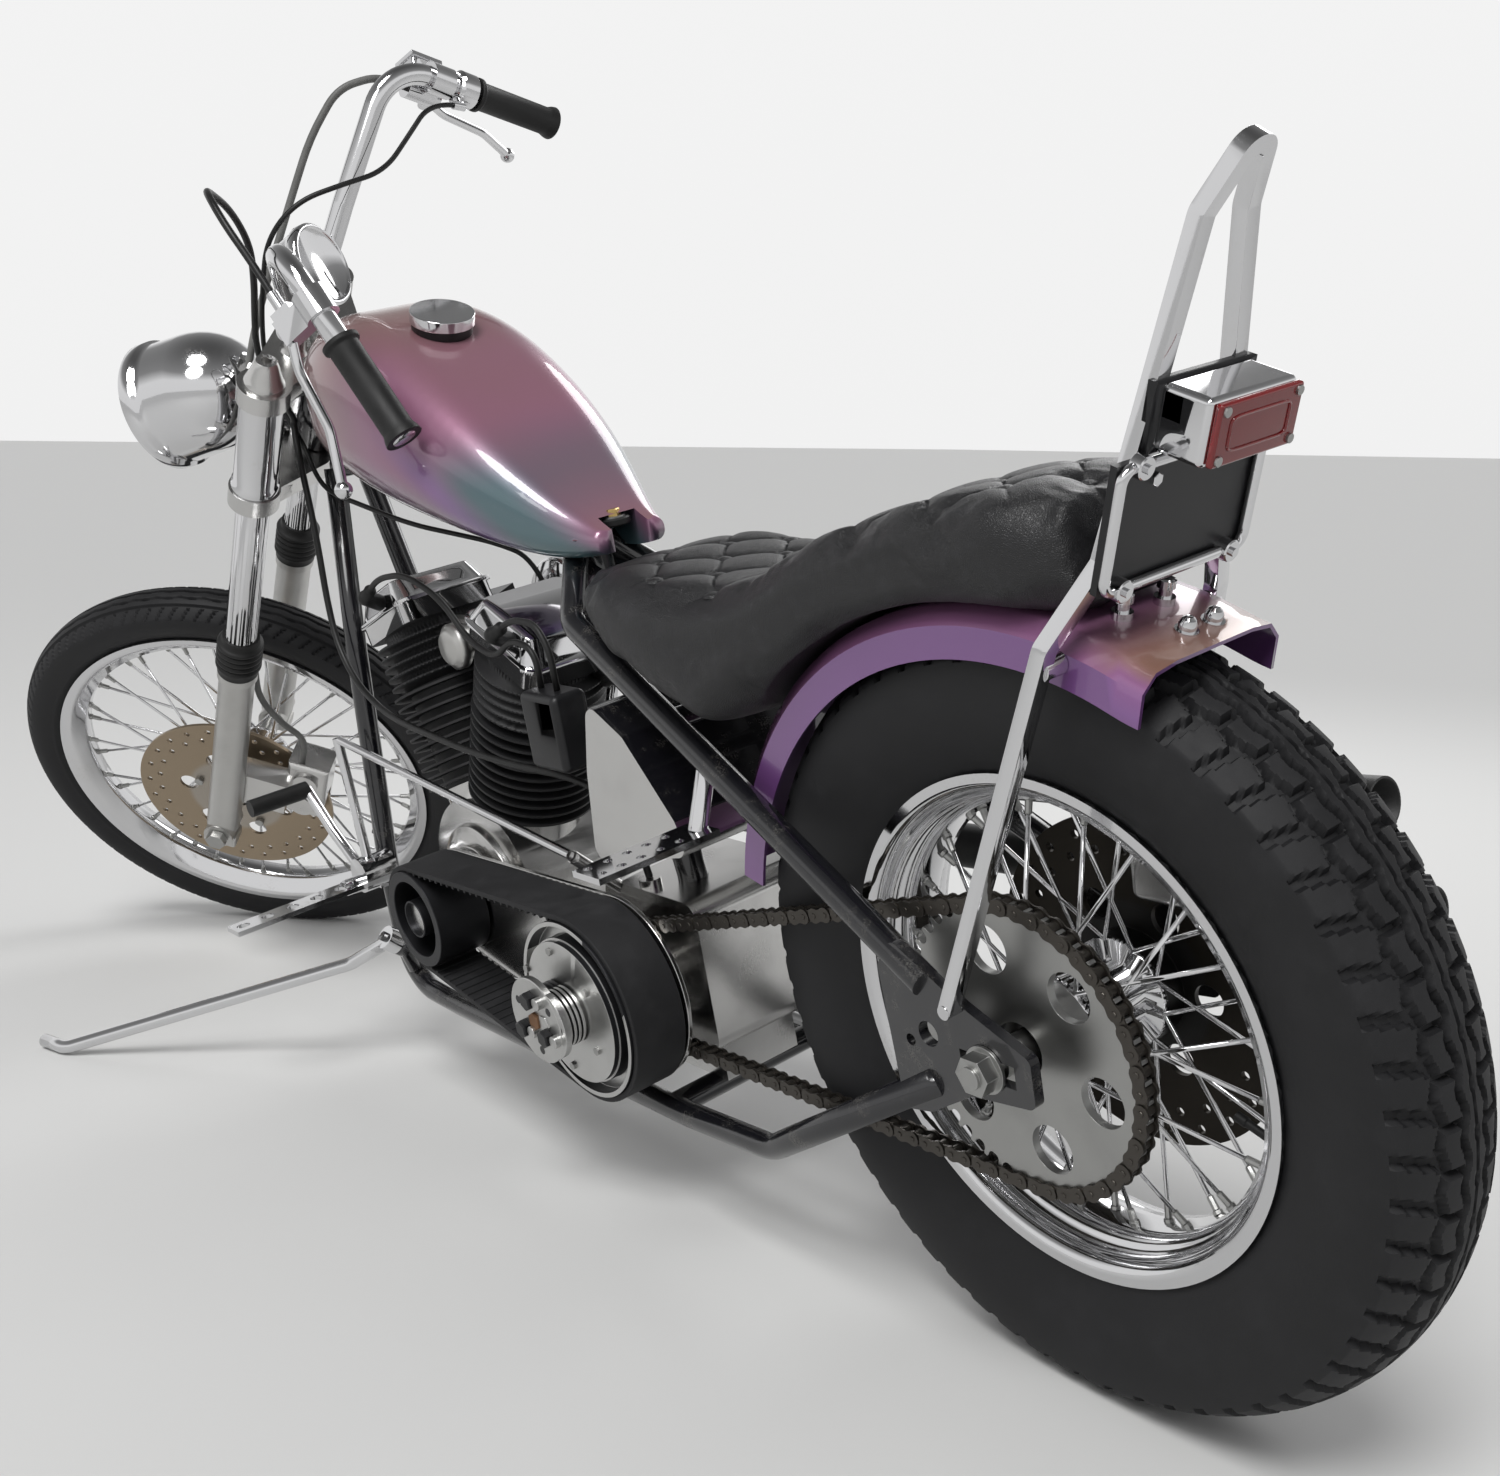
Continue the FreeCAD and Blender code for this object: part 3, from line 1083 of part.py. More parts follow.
def forward_controls(side):
    """Bracket, peg and lever in front of the engine."""
    y = 100.0
    solids = [cylinder(V(1062, y - 6, 300), LEFT, 22.0, 44), block(1046, 1080, y - 4, y + 20, 280, 320)]
    peg = block(1050, 1084, y + 30, y + 206, 286, 292)
    solids.append(peg)
    solids.append(cylinder(V(1066, y + 20, 290), LEFT, 10.0, 40))
    lever = bent_tube([V(1062, y + 30, 300), V(1120, y + 34, 350), V(1165, y + 36, 398)], 7, 20)
    solids.append(lever)
    solids.append(cylinder(V(1165, y + 36, 398), LEFT, 11.0, 78))
    holes = [cylinder(V(1067, y + 64 + 32 * i, 280), UP, 8.0, 20) for i in range(5)]
    shape = cut_each(fuse(solids), [bent_tube(CRADLE, TUBE_RADIUS, 70)] + holes)
    return shape if side > 0 else shape.mirror(V(0, 0, 0), LEFT)


def shift_rod():
    """Rod from the shift lever back to the gearbox."""
    start, end = V(1070, 118, 470), V(600, 100, 398)
    return fuse([cylinder(start, end - start, 5.0, (end - start).Length),
                 cylinder(V(1076, 118, 472), V(1062, 122, 318) - V(1076, 118, 472), 6.0, 168)])


def passenger_pegs():
    """Fixed flat pegs on the upper rails."""
    peg = block(318, 360, 104, 236, 470, 476)
    seat_point = RAIL_KNEE + (RAIL_LOW - RAIL_KNEE) * ((RAIL_KNEE.x - 338) / (RAIL_KNEE.x - RAIL_LOW.x))
    arm = cylinder(seat_point, V(338, 114, 474) - seat_point, 9.0, (V(338, 114, 474) - seat_point).Length)
    rails = cylinder(RAIL_KNEE, RAIL_LOW - RAIL_KNEE, TUBE_RADIUS, 560)
    holes = [cylinder(V(339 + 11 * dx, 142 + 21 * i, 460), UP, 4.5, 30) for i in range(5) for dx in (-1, 1)]
    return Part.makeCompound(both_sides(cut_each(fuse([peg, arm]), [rails] + holes)))


def kick_starter():
    """Kick arm and pedal on the right of the gearbox."""
    x, z = MAINSHAFT_X - 20, MAINSHAFT_Z + 20
    boss = cylinder(V(x, -122 - CLEAR, z), -LEFT, 16.0, 18)
    arm = bent_tube([V(x, -132, z), V(x - 8, -139, z + 100), V(x, -140, z + 214)], 8.0, 60)
    pedal = turned_about([(-9, 0), (-9, 9), (0, 9), (4, 12.5), (58, 12.5), (62, 10), (62, 0)],
                         V(x, -140, z + 214), -LEFT)
    return fuse([boss, arm, pedal])


def rear_brake():
    """Rear master cylinder with its link and the hose to the caliper."""
    at, end = V(1050, -112, 250), REAR_HOSE[0]
    body = cylinder(at, end - at, 14.0, (end - at).Length)
    lug = cylinder(at, V(24, 18, 2), 8.0, 32)
    link = cylinder(V(1054, -112, 256), V(8, -2, 21.4), 4.0, 23)
    hose = cable(REAR_HOSE, 4.0)
    return cut_each(fuse([body, lug, link, hose]),
                    [bent_tube([V(p.x, -p.y, p.z) for p in CRADLE], TUBE_RADIUS, 70),
                                                    forward_controls(-1)])


def at_legs(shape):
    """A solid made at the middle, carried to both fork legs."""
    copies = []
    for side in (1, -1):
        moved = shape.copy()
        moved.translate(V(0, side * LEG_Y, 0))
        copies.append(moved)
    return copies


def fork_sliders():
    """Lower legs with their axle bosses, clamps and top lips."""
    body = turned_about([(-14, 0), (-14, 18), (6, SLIDER_RADIUS), (SLIDER_LENGTH - 14, SLIDER_RADIUS),
                         (SLIDER_LENGTH - 12, SLIDER_RADIUS + 2.5), (SLIDER_LENGTH, SLIDER_RADIUS + 2.5),
                         (SLIDER_LENGTH, 0)], V(0, 0, 0), UP)
    boss = cylinder(V(0, -25, 0), LEFT, 21.0, 50)
    clamp = block(-24, 24, -16, 16, -30, -8)
    clamp = clamp.makeFillet(4, clamp.Edges)
    whole = fuse([body, boss, clamp])
    whole = cut_each(whole, [cylinder(V(0, -60, 0), LEFT, AXLE_RADIUS + CLEAR, 120),
                             block(6, 30, -60, 60, -15, -12),
                             cylinder(V(0, 0, 60), UP, STANCHION_RADIUS + CLEAR, SLIDER_LENGTH)])
    return Part.makeCompound(at_legs(whole))


def fork_tubes():
    """Stanchions, and the covers between the trees."""
    start = LOWER_TREE + TREE_THICK + CLEAR
    height = UPPER_TREE - LOWER_TREE - TREE_THICK - 2 * CLEAR
    bore = STANCHION_RADIUS + CLEAR
    cover = turned_about([(0, bore), (0, COVER_RADIUS + 2), (9, COVER_RADIUS + 2), (11, COVER_RADIUS),
                          (height, COVER_RADIUS), (height, bore)], V(0, 0, start), UP)
    tube = cylinder(V(0, 0, 62), UP, STANCHION_RADIUS, UPPER_TREE - 62 - CLEAR)
    return Part.makeCompound(at_legs(tube) + at_legs(cover))


def fork_boots():
    """Ribbed rubber boots over the tops of the sliders."""
    outline = [(0, STANCHION_RADIUS + CLEAR), (0, BOOT_RADIUS - 2), (10, BOOT_RADIUS - 2)]
    ribs = 5
    step = (BOOT_LENGTH - 20) / ribs
    for i in range(ribs):
        outline += [(10 + step * (i + 0.35), BOOT_RADIUS + 1), (10 + step * (i + 0.65), BOOT_RADIUS + 1),
                    (10 + step * (i + 1), BOOT_RADIUS - 4)]
    outline += [(BOOT_LENGTH, BOOT_RADIUS - 5), (BOOT_LENGTH, STANCHION_RADIUS + CLEAR)]
    return Part.makeCompound(at_legs(turned_about(outline, V(0, 0, SLIDER_LENGTH + CLEAR), UP)))


def tree_plate(height):
    """One tree: a waisted plate with a boss and pinch bolt for each leg."""
    outline = [V(22, 112, height), V(22, -112, height), V(-22, -LEG_Y, height),
               V(-FORK_OFFSET - 26, -40, height),
               V(-FORK_OFFSET - 26, 40, height), V(-22, LEG_Y, height)]
    solids = [Part.Face(rounded_path(outline, 18, True)).extrude(UP * TREE_THICK)]
    for y in (LEG_Y, -LEG_Y):
        solids.append(cylinder(V(0, y, height), UP, 31.0, TREE_THICK))
        solids.append(cylinder(V(-14, y * 0.72, height + TREE_THICK / 2), V(-1, 0, 0), 8.0, 24))
        solids.append(hexagon(V(18, y * 0.72, height + TREE_THICK / 2), FORWARD, 13.0, 12))
    return fuse(solids)


def triple_trees():
    """Both trees with the stem, its nut, the leg caps and the risers."""
    lower = cut_each(tree_plate(LOWER_TREE),
                     at_legs(cylinder(V(0, 0, LOWER_TREE - 5), UP, STANCHION_RADIUS + CLEAR,
                                                              TREE_THICK + 10)))
    top = UPPER_TREE + TREE_THICK
    stem = cylinder(V(-FORK_OFFSET, 0, LOWER_TREE - 8), UP, STEM_RADIUS, top - LOWER_TREE + 22)
    nut = turned_about([(0, 0), (0, 24), (6, 24), (9, 20), (17, 19), (23, 12), (25, 0)],
                       V(-FORK_OFFSET, 0, top), UP)
    cap = turned_about([(0, 0), (0, 24), (5, 24), (8, 22), (30, 14), (33, 12), (33, 6), (22, 6), (22, 0)],
                       V(0, 0, top), UP)
    risers = []
    for y in (45, -45):
        risers.append(turned_about([(0, 0), (0, 17), (6, 14), (46, 14), (50, 17), (60, 17), (60, 0)],
                                   V(-10, y, top), UP))
    tree = fuse([lower, tree_plate(UPPER_TREE), stem, nut] + at_legs(cap) + risers)
    return tree.cut(bent_tube(BAR_POINTS, BAR_RADIUS + CLEAR, BAR_BEND))


def handlebar():
    """One bent tube from grip to grip."""
    return bent_tube(BAR_POINTS, BAR_RADIUS, BAR_BEND)


def at_grip(shape, side):
    """A solid made in the grip's axes (x out along it, y up, z ahead), carried to a grip."""
    moved = shape.copy()
    moved.Placement = GRIP_PLACE.multiply(moved.Placement)
    return moved if side > 0 else moved.mirror(V(0, 0, 0), LEFT)


def grips():
    """Rubber grips with flared ends."""
    outline = [(0, BAR_RADIUS + CLEAR), (0, 20.5), (5, 20.5), (8, GRIP_RADIUS), (108, GRIP_RADIUS),
               (115, 19.5),
               (GRIP_LENGTH, 20.5), (GRIP_LENGTH, BAR_RADIUS + CLEAR)]
    grip = turned_about(outline, V(0, 0, 0), FORWARD)
    return Part.makeCompound([at_grip(grip, 1), at_grip(grip, -1)])


def hand_lever():
    """Blade with its ball end, in the grip's axes."""
    blade = bent_tube([V(-44, 0, 40), V(-6, 0, 57), V(60, 0, 64), V(118, 0, 90)], 5.5, 50)
    pivot = cylinder(V(-44, -9, 40), LEFT, 11.0, 18)
    return fuse([blade, pivot, Part.makeSphere(9.5, V(118, 0, 90))])


def hand_levers():
    """Clutch perch and lever on the left; throttle housing, master cylinder and lever on the right."""
    perch = [cylinder(V(-60, 0, 0), FORWARD, 18.5, 30), block(-58, -30, -10, 10, 10, 48),
             cylinder(V(-62, 0, 34), V(-1, 0, 0), 6.5, 24), block(-66, -50, -8, 8, 22, 46), hand_lever()]
    tank = block(-74, -34, 12, 40, 18, 50)
    brake = [cylinder(V(-68, 0, 0), FORWARD, 18.5, 30), cylinder(V(-80, 0, 32), FORWARD, 13.0, 46),
             block(-62, -42, -10, 12, 8, 34), tank.makeFillet(4, tank.Edges),
             block(-76, -32, 38, 43, 16, 52), hand_lever()]
    housing = [turned_about([(-30, 0), (-30, 17), (-26, 21), (-6, 21), (-2, 18), (-2, 0)], V(0, 0, 0),
                            FORWARD),
               cylinder(V(-18, -22, 0), LEFT, 7.0, 10), cylinder(V(-18, -24, 0), V(-42, -4, 4), 5.0, 16)]
    bar = bent_tube(BAR_POINTS, BAR_RADIUS + CLEAR, BAR_BEND)
    return Part.makeCompound([at_grip(fuse(perch), 1).cut(bar), at_grip(fuse(brake), -1).cut(bar),
                              at_grip(fuse(housing), -1).cut(bar)])


def headlamp():
    """Bullet lamp with its rim, on a stay from the lower tree."""
    outline = [(-88, 0)]
    for i in range(1, 12):
        angle = i * math.pi / 24
        outline.append((-88 * math.cos(angle), LAMP_RADIUS * math.sin(angle)))
    outline += [(0, LAMP_RADIUS), (40, LAMP_RADIUS + 1), (42, LAMP_RADIUS + 5), (58, LAMP_RADIUS + 5),
                (62, LAMP_RADIUS + 2), (62, LENS_RADIUS + CLEAR), (54, LENS_RADIUS + CLEAR), (54, 0)]
    lamp = turned_about(outline, HEADLAMP_AT, LAMP_AXIS)
    stay = cylinder(V(-20, 0, LOWER_TREE + 34), V(HEADLAMP_AT.x - 40, 0, HEADLAMP_AT.z - LOWER_TREE - 20),
                    12.0, 96)
    foot = block(0, 20, -14, 14, LOWER_TREE + TREE_THICK + CLEAR, LOWER_TREE + TREE_THICK + 20)
    neck_space = cylinder(V(-FORK_OFFSET, 0, 600), UP, NECK_RADIUS + 6, 200)
    return fuse([lamp, stay, foot]).cut(neck_space)


def headlamp_lens():
    """Domed glass of the headlamp."""
    outline = [(54 + CLEAR, 0), (54 + CLEAR, LENS_RADIUS), (62, LENS_RADIUS), (67, 60), (71, 46), (74, 30),
               (76, 0)]
    return turned_about(outline, HEADLAMP_AT, LAMP_AXIS)


def speedometer():
    """Small round gauge on a stalk from the upper tree."""
    face = V(-0.72, 0, 0.69)
    at = V(-14, 0, 905)
    body = turned_about([(-30, 0), (-30, 30), (-24, 42), (-4, 46), (0, 49), (10, 49), (13, 45), (9, 42),
                         (9, 0)], at, face)
    foot = V(-32, 0, UPPER_TREE + TREE_THICK)
    stalk = cylinder(foot, at - foot, 7.0, 66)
    return body.fuse([stalk]).cut(handlebar().fuse([triple_trees()]))


def front_caliper():
    """Front caliper behind the left leg, astride the disc."""
    at = V(-104, FRONT_DISC_Y, 84)
    body = block(at.x - 30, at.x + 30, at.y - 26, at.y + 30, at.z - 52, at.z + 52)
    body = body.makeFillet(10, [e for e in body.Edges if e.Length > 58])
    for z in (at.z - 24, at.z + 24):
        body = body.fuse([cylinder(V(at.x, at.y + 30, z), LEFT, 18.0, 7)])
    slot = cylinder(V(0, FRONT_DISC_Y - 8, 0), LEFT, DISC_RADIUS + 6, 16)
    lug = block(at.x + 20, 0, at.y + 18, LEG_Y - 6, at.z - 30, at.z + 30)
    leg = cylinder(V(0, LEG_Y, 0), UP, SLIDER_RADIUS + CLEAR, 300)
    return fuse([body.cut(slot), lug]).cut(leg)


def front_axle():
    """The front axle with its spacers and nut."""
    reach = LEG_Y + SLIDER_RADIUS + 12
    solids = [cylinder(V(0, -reach, 0), LEFT, AXLE_RADIUS, 2 * reach)]
    for side in (1, -1):
        inner = FRONT_HUB_LENGTH / 2 + 1.0
        solids.append(cylinder(V(0, side * inner, 0), LEFT * side, 14.0, LEG_Y - 25 - CLEAR - inner))
        solids.append(hexagon(V(0, side * (LEG_Y + 25 + CLEAR), 0), LEFT * side, 26.0, 12))
    return fuse(solids)


def front_hose():
    """Brake hose from the right master cylinder down to the front caliper."""
    return cable(FRONT_HOSE, HOSE_RADIUS)


def fork_cables():
    """The fork's stretches of the clutch and throttle cables."""
    clutch_side = cable(CLUTCH_CABLE_UPPER, CABLE_RADIUS)
    return Part.makeCompound([clutch_side, cable(THROTTLE_CABLE_UPPER, THROTTLE_CABLE_RADIUS)])


def side_stand():
    """Side stand: leg, bent foot and pivot lug, with its foot on the floor."""
    heel, toe = stand_on_floor()
    run = heel - STAND_PIVOT
    knee = STAND_PIVOT + V(run.x * 0.16, run.y * 0.12, run.z * 0.34)
    leg = bent_tube([STAND_PIVOT, knee, heel, toe], STAND_TUBE, 30)
    boss = cylinder(STAND_PIVOT - STAND_AXIS * 10, STAND_AXIS, 15.0, 20)
    bore = cylinder(STAND_PIVOT - STAND_AXIS * 20, STAND_AXIS, 6.0 + RUNNING_FIT, 40)
    return fuse([leg, boss]).cut(bore)


def stand_bracket():
    """Bracket and pin on the frame that carry the side stand."""
    pin = cylinder(STAND_PIVOT - STAND_AXIS * 24, STAND_AXIS, 6.0, 38)
    cheek = cylinder(STAND_PIVOT - STAND_AXIS * 24, STAND_AXIS, 14.0, 13)
    reach = V(1040, 104, 166) - (STAND_PIVOT - STAND_AXIS * 18)
    arm = cylinder(STAND_PIVOT - STAND_AXIS * 18, reach, 8.0, reach.Length)
    return fuse([pin, cheek, arm])


# Setting the bike down: lean about the rear contact line, then pitch so that both tyres touch
LEAN_TURN = FreeCAD.Rotation(FORWARD, -LEAN)
STEER_TURN = FreeCAD.Rotation(LEG_UP, STEERING_STOP)


def lowest_of_tyre(centre, axle, radius, crown):
    """Height of the lowest point of a tyre whose tread is an arc."""
    flat = math.sqrt(max(0.0, 1 - axle.z ** 2))
    return centre.z - (radius - crown) * flat - crown


def settle():
    """Pitch angle, in degrees, at which both tyres touch a level floor."""
    steered = STEM_FOOT + STEER_TURN.multVec(FRONT_AXLE - STEM_FOOT)
    steered_axle = STEER_TURN.multVec(LEFT)
    low, high = -8.0, 8.0
    for _ in range(50):
        middle = (low + high) / 2
        turn = LEAN_TURN.multiply(FreeCAD.Rotation(LEFT, middle))
        rear = lowest_of_tyre(turn.multVec(REAR_AXLE), turn.multVec(LEFT), REAR_TYRE_RADIUS,
                              REAR_CROWN_RADIUS)
        front = lowest_of_tyre(turn.multVec(steered), turn.multVec(steered_axle), FRONT_TYRE_RADIUS,
                               FRONT_CROWN_RADIUS)
        if front > rear:
            low = middle
        else:
            high = middle
    return (low + high) / 2


PITCH = settle()
STAND_TURN = LEAN_TURN.multiply(FreeCAD.Rotation(LEFT, PITCH))
FLOOR = lowest_of_tyre(STAND_TURN.multVec(REAR_AXLE), STAND_TURN.multVec(LEFT), REAR_TYRE_RADIUS,
                       REAR_CROWN_RADIUS)


def stand_on_floor():
    """Heel and toe of the side stand where they lie on the floor, in the upright bike's axes."""
    pivot = STAND_TURN.multVec(STAND_PIVOT)
    drop = pivot.z - FLOOR - STAND_TUBE
    heel = V(pivot.x, pivot.y, FLOOR + STAND_TUBE) + STAND_OUT * math.sqrt(STAND_REACH ** 2 - drop ** 2)
    back = STAND_TURN.inverted()
    return back.multVec(heel), back.multVec(heel + STAND_TOE)


def to_floor(shape):
    """The bike's own axes to the leaning pose."""
    moved = shape.copy()
    moved.Placement = FreeCAD.Placement(V(0, 0, -FLOOR), STAND_TURN).multiply(moved.Placement)
    return moved


def fork_to_floor(shape):
    """The fork's own axes to the leaning pose, steered to its stop."""
    moved = shape.copy()
    straight = FreeCAD.Placement(FRONT_AXLE, RAKE_TURN)
    steer = FreeCAD.Placement(V(0, 0, 0), STEER_TURN, STEM_FOOT)
    whole = FreeCAD.Placement(V(0, 0, -FLOOR), STAND_TURN).multiply(steer).multiply(straight)
    moved.Placement = whole.multiply(moved.Placement)
    return moved


def at_rear_axle(shape):
    """A rear wheel piece, carried to the rear axle."""
    moved = shape.copy()
    moved.Placement = FreeCAD.Placement(REAR_AXLE, FreeCAD.Rotation()).multiply(moved.Placement)
    return moved


def build():
    """All nodes of the bike as it stands on the floor."""
    nodes = {}
    frame_makers = [frame_neck, down_tubes, upper_rails, rear_axle, fuel_tank, tank_cap, seat,
                    rear_fender, sissy_bar, tail_lamp, tail_lens, plate_frame, crankcase, cylinders,
                    cylinder_heads, gearbox, primary_plate, primary_belt, front_pulley, clutch,
                    drive_chain, oil_tank, exhausts, air_cleaner, pushrods, coil_box, ignition_leads, frame_cables,
                    foot_controls, passenger_pegs, kick_starter, rear_brake, rear_caliper, side_stand]
    fork_makers = [front_tyre, front_rim, front_hub, front_disc, fork_sliders, fork_tubes, fork_boots,
                   triple_trees,
                   handlebar, grips, headlamp, headlamp_lens, speedometer, front_caliper, front_axle, hand_levers,
                   front_hose, fork_cables]
    for maker in frame_makers:
        nodes[maker.__name__] = to_floor(maker())
    for maker in (rear_tyre, rear_rim, rear_hub, rear_sprocket, rear_disc):
        nodes[maker.__name__] = to_floor(at_rear_axle(maker()))
    for maker in fork_makers:
        nodes[maker.__name__] = fork_to_floor(maker())
    return nodes


def main():
    """Set the bike on its origin and write one file for each node."""
    os.makedirs("parts", exist_ok=True)
    nodes = build()
    whole = Part.makeCompound(list(nodes.values())).optimalBoundingBox(False, False)
    shift = V(-(whole.XMin + whole.XMax) / 2, -(whole.YMin + whole.YMax) / 2, 0)
    for name, shape in nodes.items():
        shape.translate(shift)
        shape.exportStep("parts/%s.step" % name)
        print("%-18s solids %d valid %s volume %.0f" % (name, len(shape.Solids), shape.isValid(),
                                                        shape.Volume))
    print("box", [round(v, 1) for v in (whole.XMin, whole.YMin, whole.ZMin, whole.XMax, whole.YMax,
                                        whole.ZMax)])
    to_frame = FreeCAD.Placement(shift + V(0, 0, -FLOOR), STAND_TURN)
    steer = FreeCAD.Placement(V(0, 0, 0), STEER_TURN, STEM_FOOT)
    print("pitch", PITCH)
    print("shift", [round(v, 3) for v in (shift.x, shift.y, -FLOOR)])
    for label, placement, point, axis in (
            ("rear_wheel", to_frame, REAR_AXLE, LEFT),
            ("steering", to_frame, on_stem(720.0), LEG_UP),
            ("front_wheel", to_frame.multiply(steer), FRONT_AXLE, LEFT),
            ("side_stand", to_frame, STAND_PIVOT, STAND_AXIS)):
        at, way = placement.multVec(point), placement.Rotation.multVec(axis)
        print("axis", label, [round(v, 4) for v in at], [round(v, 6) for v in way])


main()
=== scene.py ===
"""The looks of the chopper motorcycle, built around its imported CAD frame.

Lengths are in millimetres in the motorcycle's own axes until they are placed, and in metres after that.
"""

import json
import logging
import math
from dataclasses import dataclass, field
from enum import Enum
from typing import Any, Optional, Sequence, Union

import bmesh
import bpy
import numpy as np
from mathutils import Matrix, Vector

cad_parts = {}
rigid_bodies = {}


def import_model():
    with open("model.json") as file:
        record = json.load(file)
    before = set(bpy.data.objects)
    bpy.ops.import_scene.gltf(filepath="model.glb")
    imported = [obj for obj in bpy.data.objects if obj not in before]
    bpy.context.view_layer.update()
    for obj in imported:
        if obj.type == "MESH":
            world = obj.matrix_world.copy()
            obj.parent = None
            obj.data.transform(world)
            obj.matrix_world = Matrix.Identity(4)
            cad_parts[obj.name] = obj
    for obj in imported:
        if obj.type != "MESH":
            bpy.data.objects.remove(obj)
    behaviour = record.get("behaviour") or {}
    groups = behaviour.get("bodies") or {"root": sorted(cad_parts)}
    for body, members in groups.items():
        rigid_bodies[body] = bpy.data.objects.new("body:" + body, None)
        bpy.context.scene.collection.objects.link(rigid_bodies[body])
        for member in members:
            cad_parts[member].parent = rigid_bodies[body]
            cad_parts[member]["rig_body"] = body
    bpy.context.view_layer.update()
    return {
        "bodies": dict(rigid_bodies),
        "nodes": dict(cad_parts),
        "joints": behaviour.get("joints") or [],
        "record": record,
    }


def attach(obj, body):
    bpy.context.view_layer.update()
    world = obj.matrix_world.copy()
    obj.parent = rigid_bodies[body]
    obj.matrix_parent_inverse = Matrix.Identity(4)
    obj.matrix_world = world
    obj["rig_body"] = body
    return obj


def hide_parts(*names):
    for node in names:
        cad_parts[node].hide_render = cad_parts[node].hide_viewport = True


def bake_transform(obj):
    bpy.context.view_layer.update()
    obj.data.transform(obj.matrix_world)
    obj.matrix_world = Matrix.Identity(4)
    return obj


LOG = logging.getLogger("chopper")
Array = np.ndarray
Point = tuple[float, float, float]
Key = Union[int, str]
Spots = Sequence[tuple[Any, Any]]

ORIGIN: Point = (0.0, 0.0, 0.0)
UP: Point = (0.0, 0.0, 1.0)
LEFT: Point = (0.0, 1.0, 0.0)
REARWARD: Point = (-1.0, 0.0, 0.0)
NODE_MERGE = 2e-6  # metres: loose points of a CAD node closer than this are one
FLAT = math.radians(0.4)  # faces of a CAD node within this angle lie in one plane
EASED = math.radians(40.0)  # edges sharper than this take the bevel


# Axes: the bike's own axes (x forward, y left, z up) and the fork's (z up along the legs)
@dataclass(frozen=True)
class Axes:
    """Rows of a rigid placement that carries millimetres into the frame."""

    rows: tuple[tuple[float, float, float, float], ...]

    def matrix(self) -> Array:
        """The rows as a 3 by 4 array."""
        return np.array(self.rows)

    def place(self, points: Any) -> Array:
        """Millimetres in these axes to metres in the frame.

        Args:
            points: an array whose last side is x, y, z.
        Returns:
            An array of the same shape.
        """
        rows = self.matrix()
        return (np.asarray(points, float) @ rows[:, :3].T + rows[:, 3]) / 1000.0

    def back(self, points: Any) -> Array:
        """Metres in the frame to millimetres in these axes."""
        rows = self.matrix()
        return (np.asarray(points, float) * 1000.0 - rows[:, 3]) @ rows[:, :3]

    def moved(self, offset: Point, degrees: float = 0.0) -> "Axes":
        """The same axes, moved and then tilted back about their y axis.

        Args:
            offset: the way to the new origin, in these axes.
            degrees: the tilt.
        Returns:
            The new axes.
        """
        rows = self.matrix()
        start = rows[:, :3] @ np.array(offset) + rows[:, 3]
        a = math.radians(degrees)
        lean = np.array([[math.cos(a), 0, -math.sin(a)], [0, 1, 0], [math.sin(a), 0, math.cos(a)]])
        leaning = rows[:, :3] @ lean
        return Axes(tuple(tuple(leaning[i]) + (float(start[i]),) for i in range(3)))


REAR_AXLE_UP = 336.0
FENDER_RADIUS = 358.0
CRANK: Point = (885.0, 0.0, 287.0)
CLUTCH_SHAFT = (566.8, 259.0)
BIKE = Axes(((0.999753, 0.0, 0.022245, -802.09), (-0.004625, 0.978148, 0.20786, -127.464),
             (-0.021759, -0.207912, 0.977906, 2.0917)))
FORK = Axes(((0.553193, -0.553193, -0.622861, 841.8781), (0.783225, 0.600084, 0.162656, -38.4636),
             (0.283789, -0.577821, 0.765237, 284.7683)))
REAR_WHEEL = BIKE.moved((0.0, 0.0, REAR_AXLE_UP))
LOOP = BIKE.moved((-137.0, 0.0, 760.0), 19.3)
TANK_CAP = BIKE.moved((822.0, 0.0, 925.0), 24.0)
FRONT_VEE = BIKE.moved(CRANK, -19.5)
REAR_VEE = BIKE.moved(CRANK, 25.5)


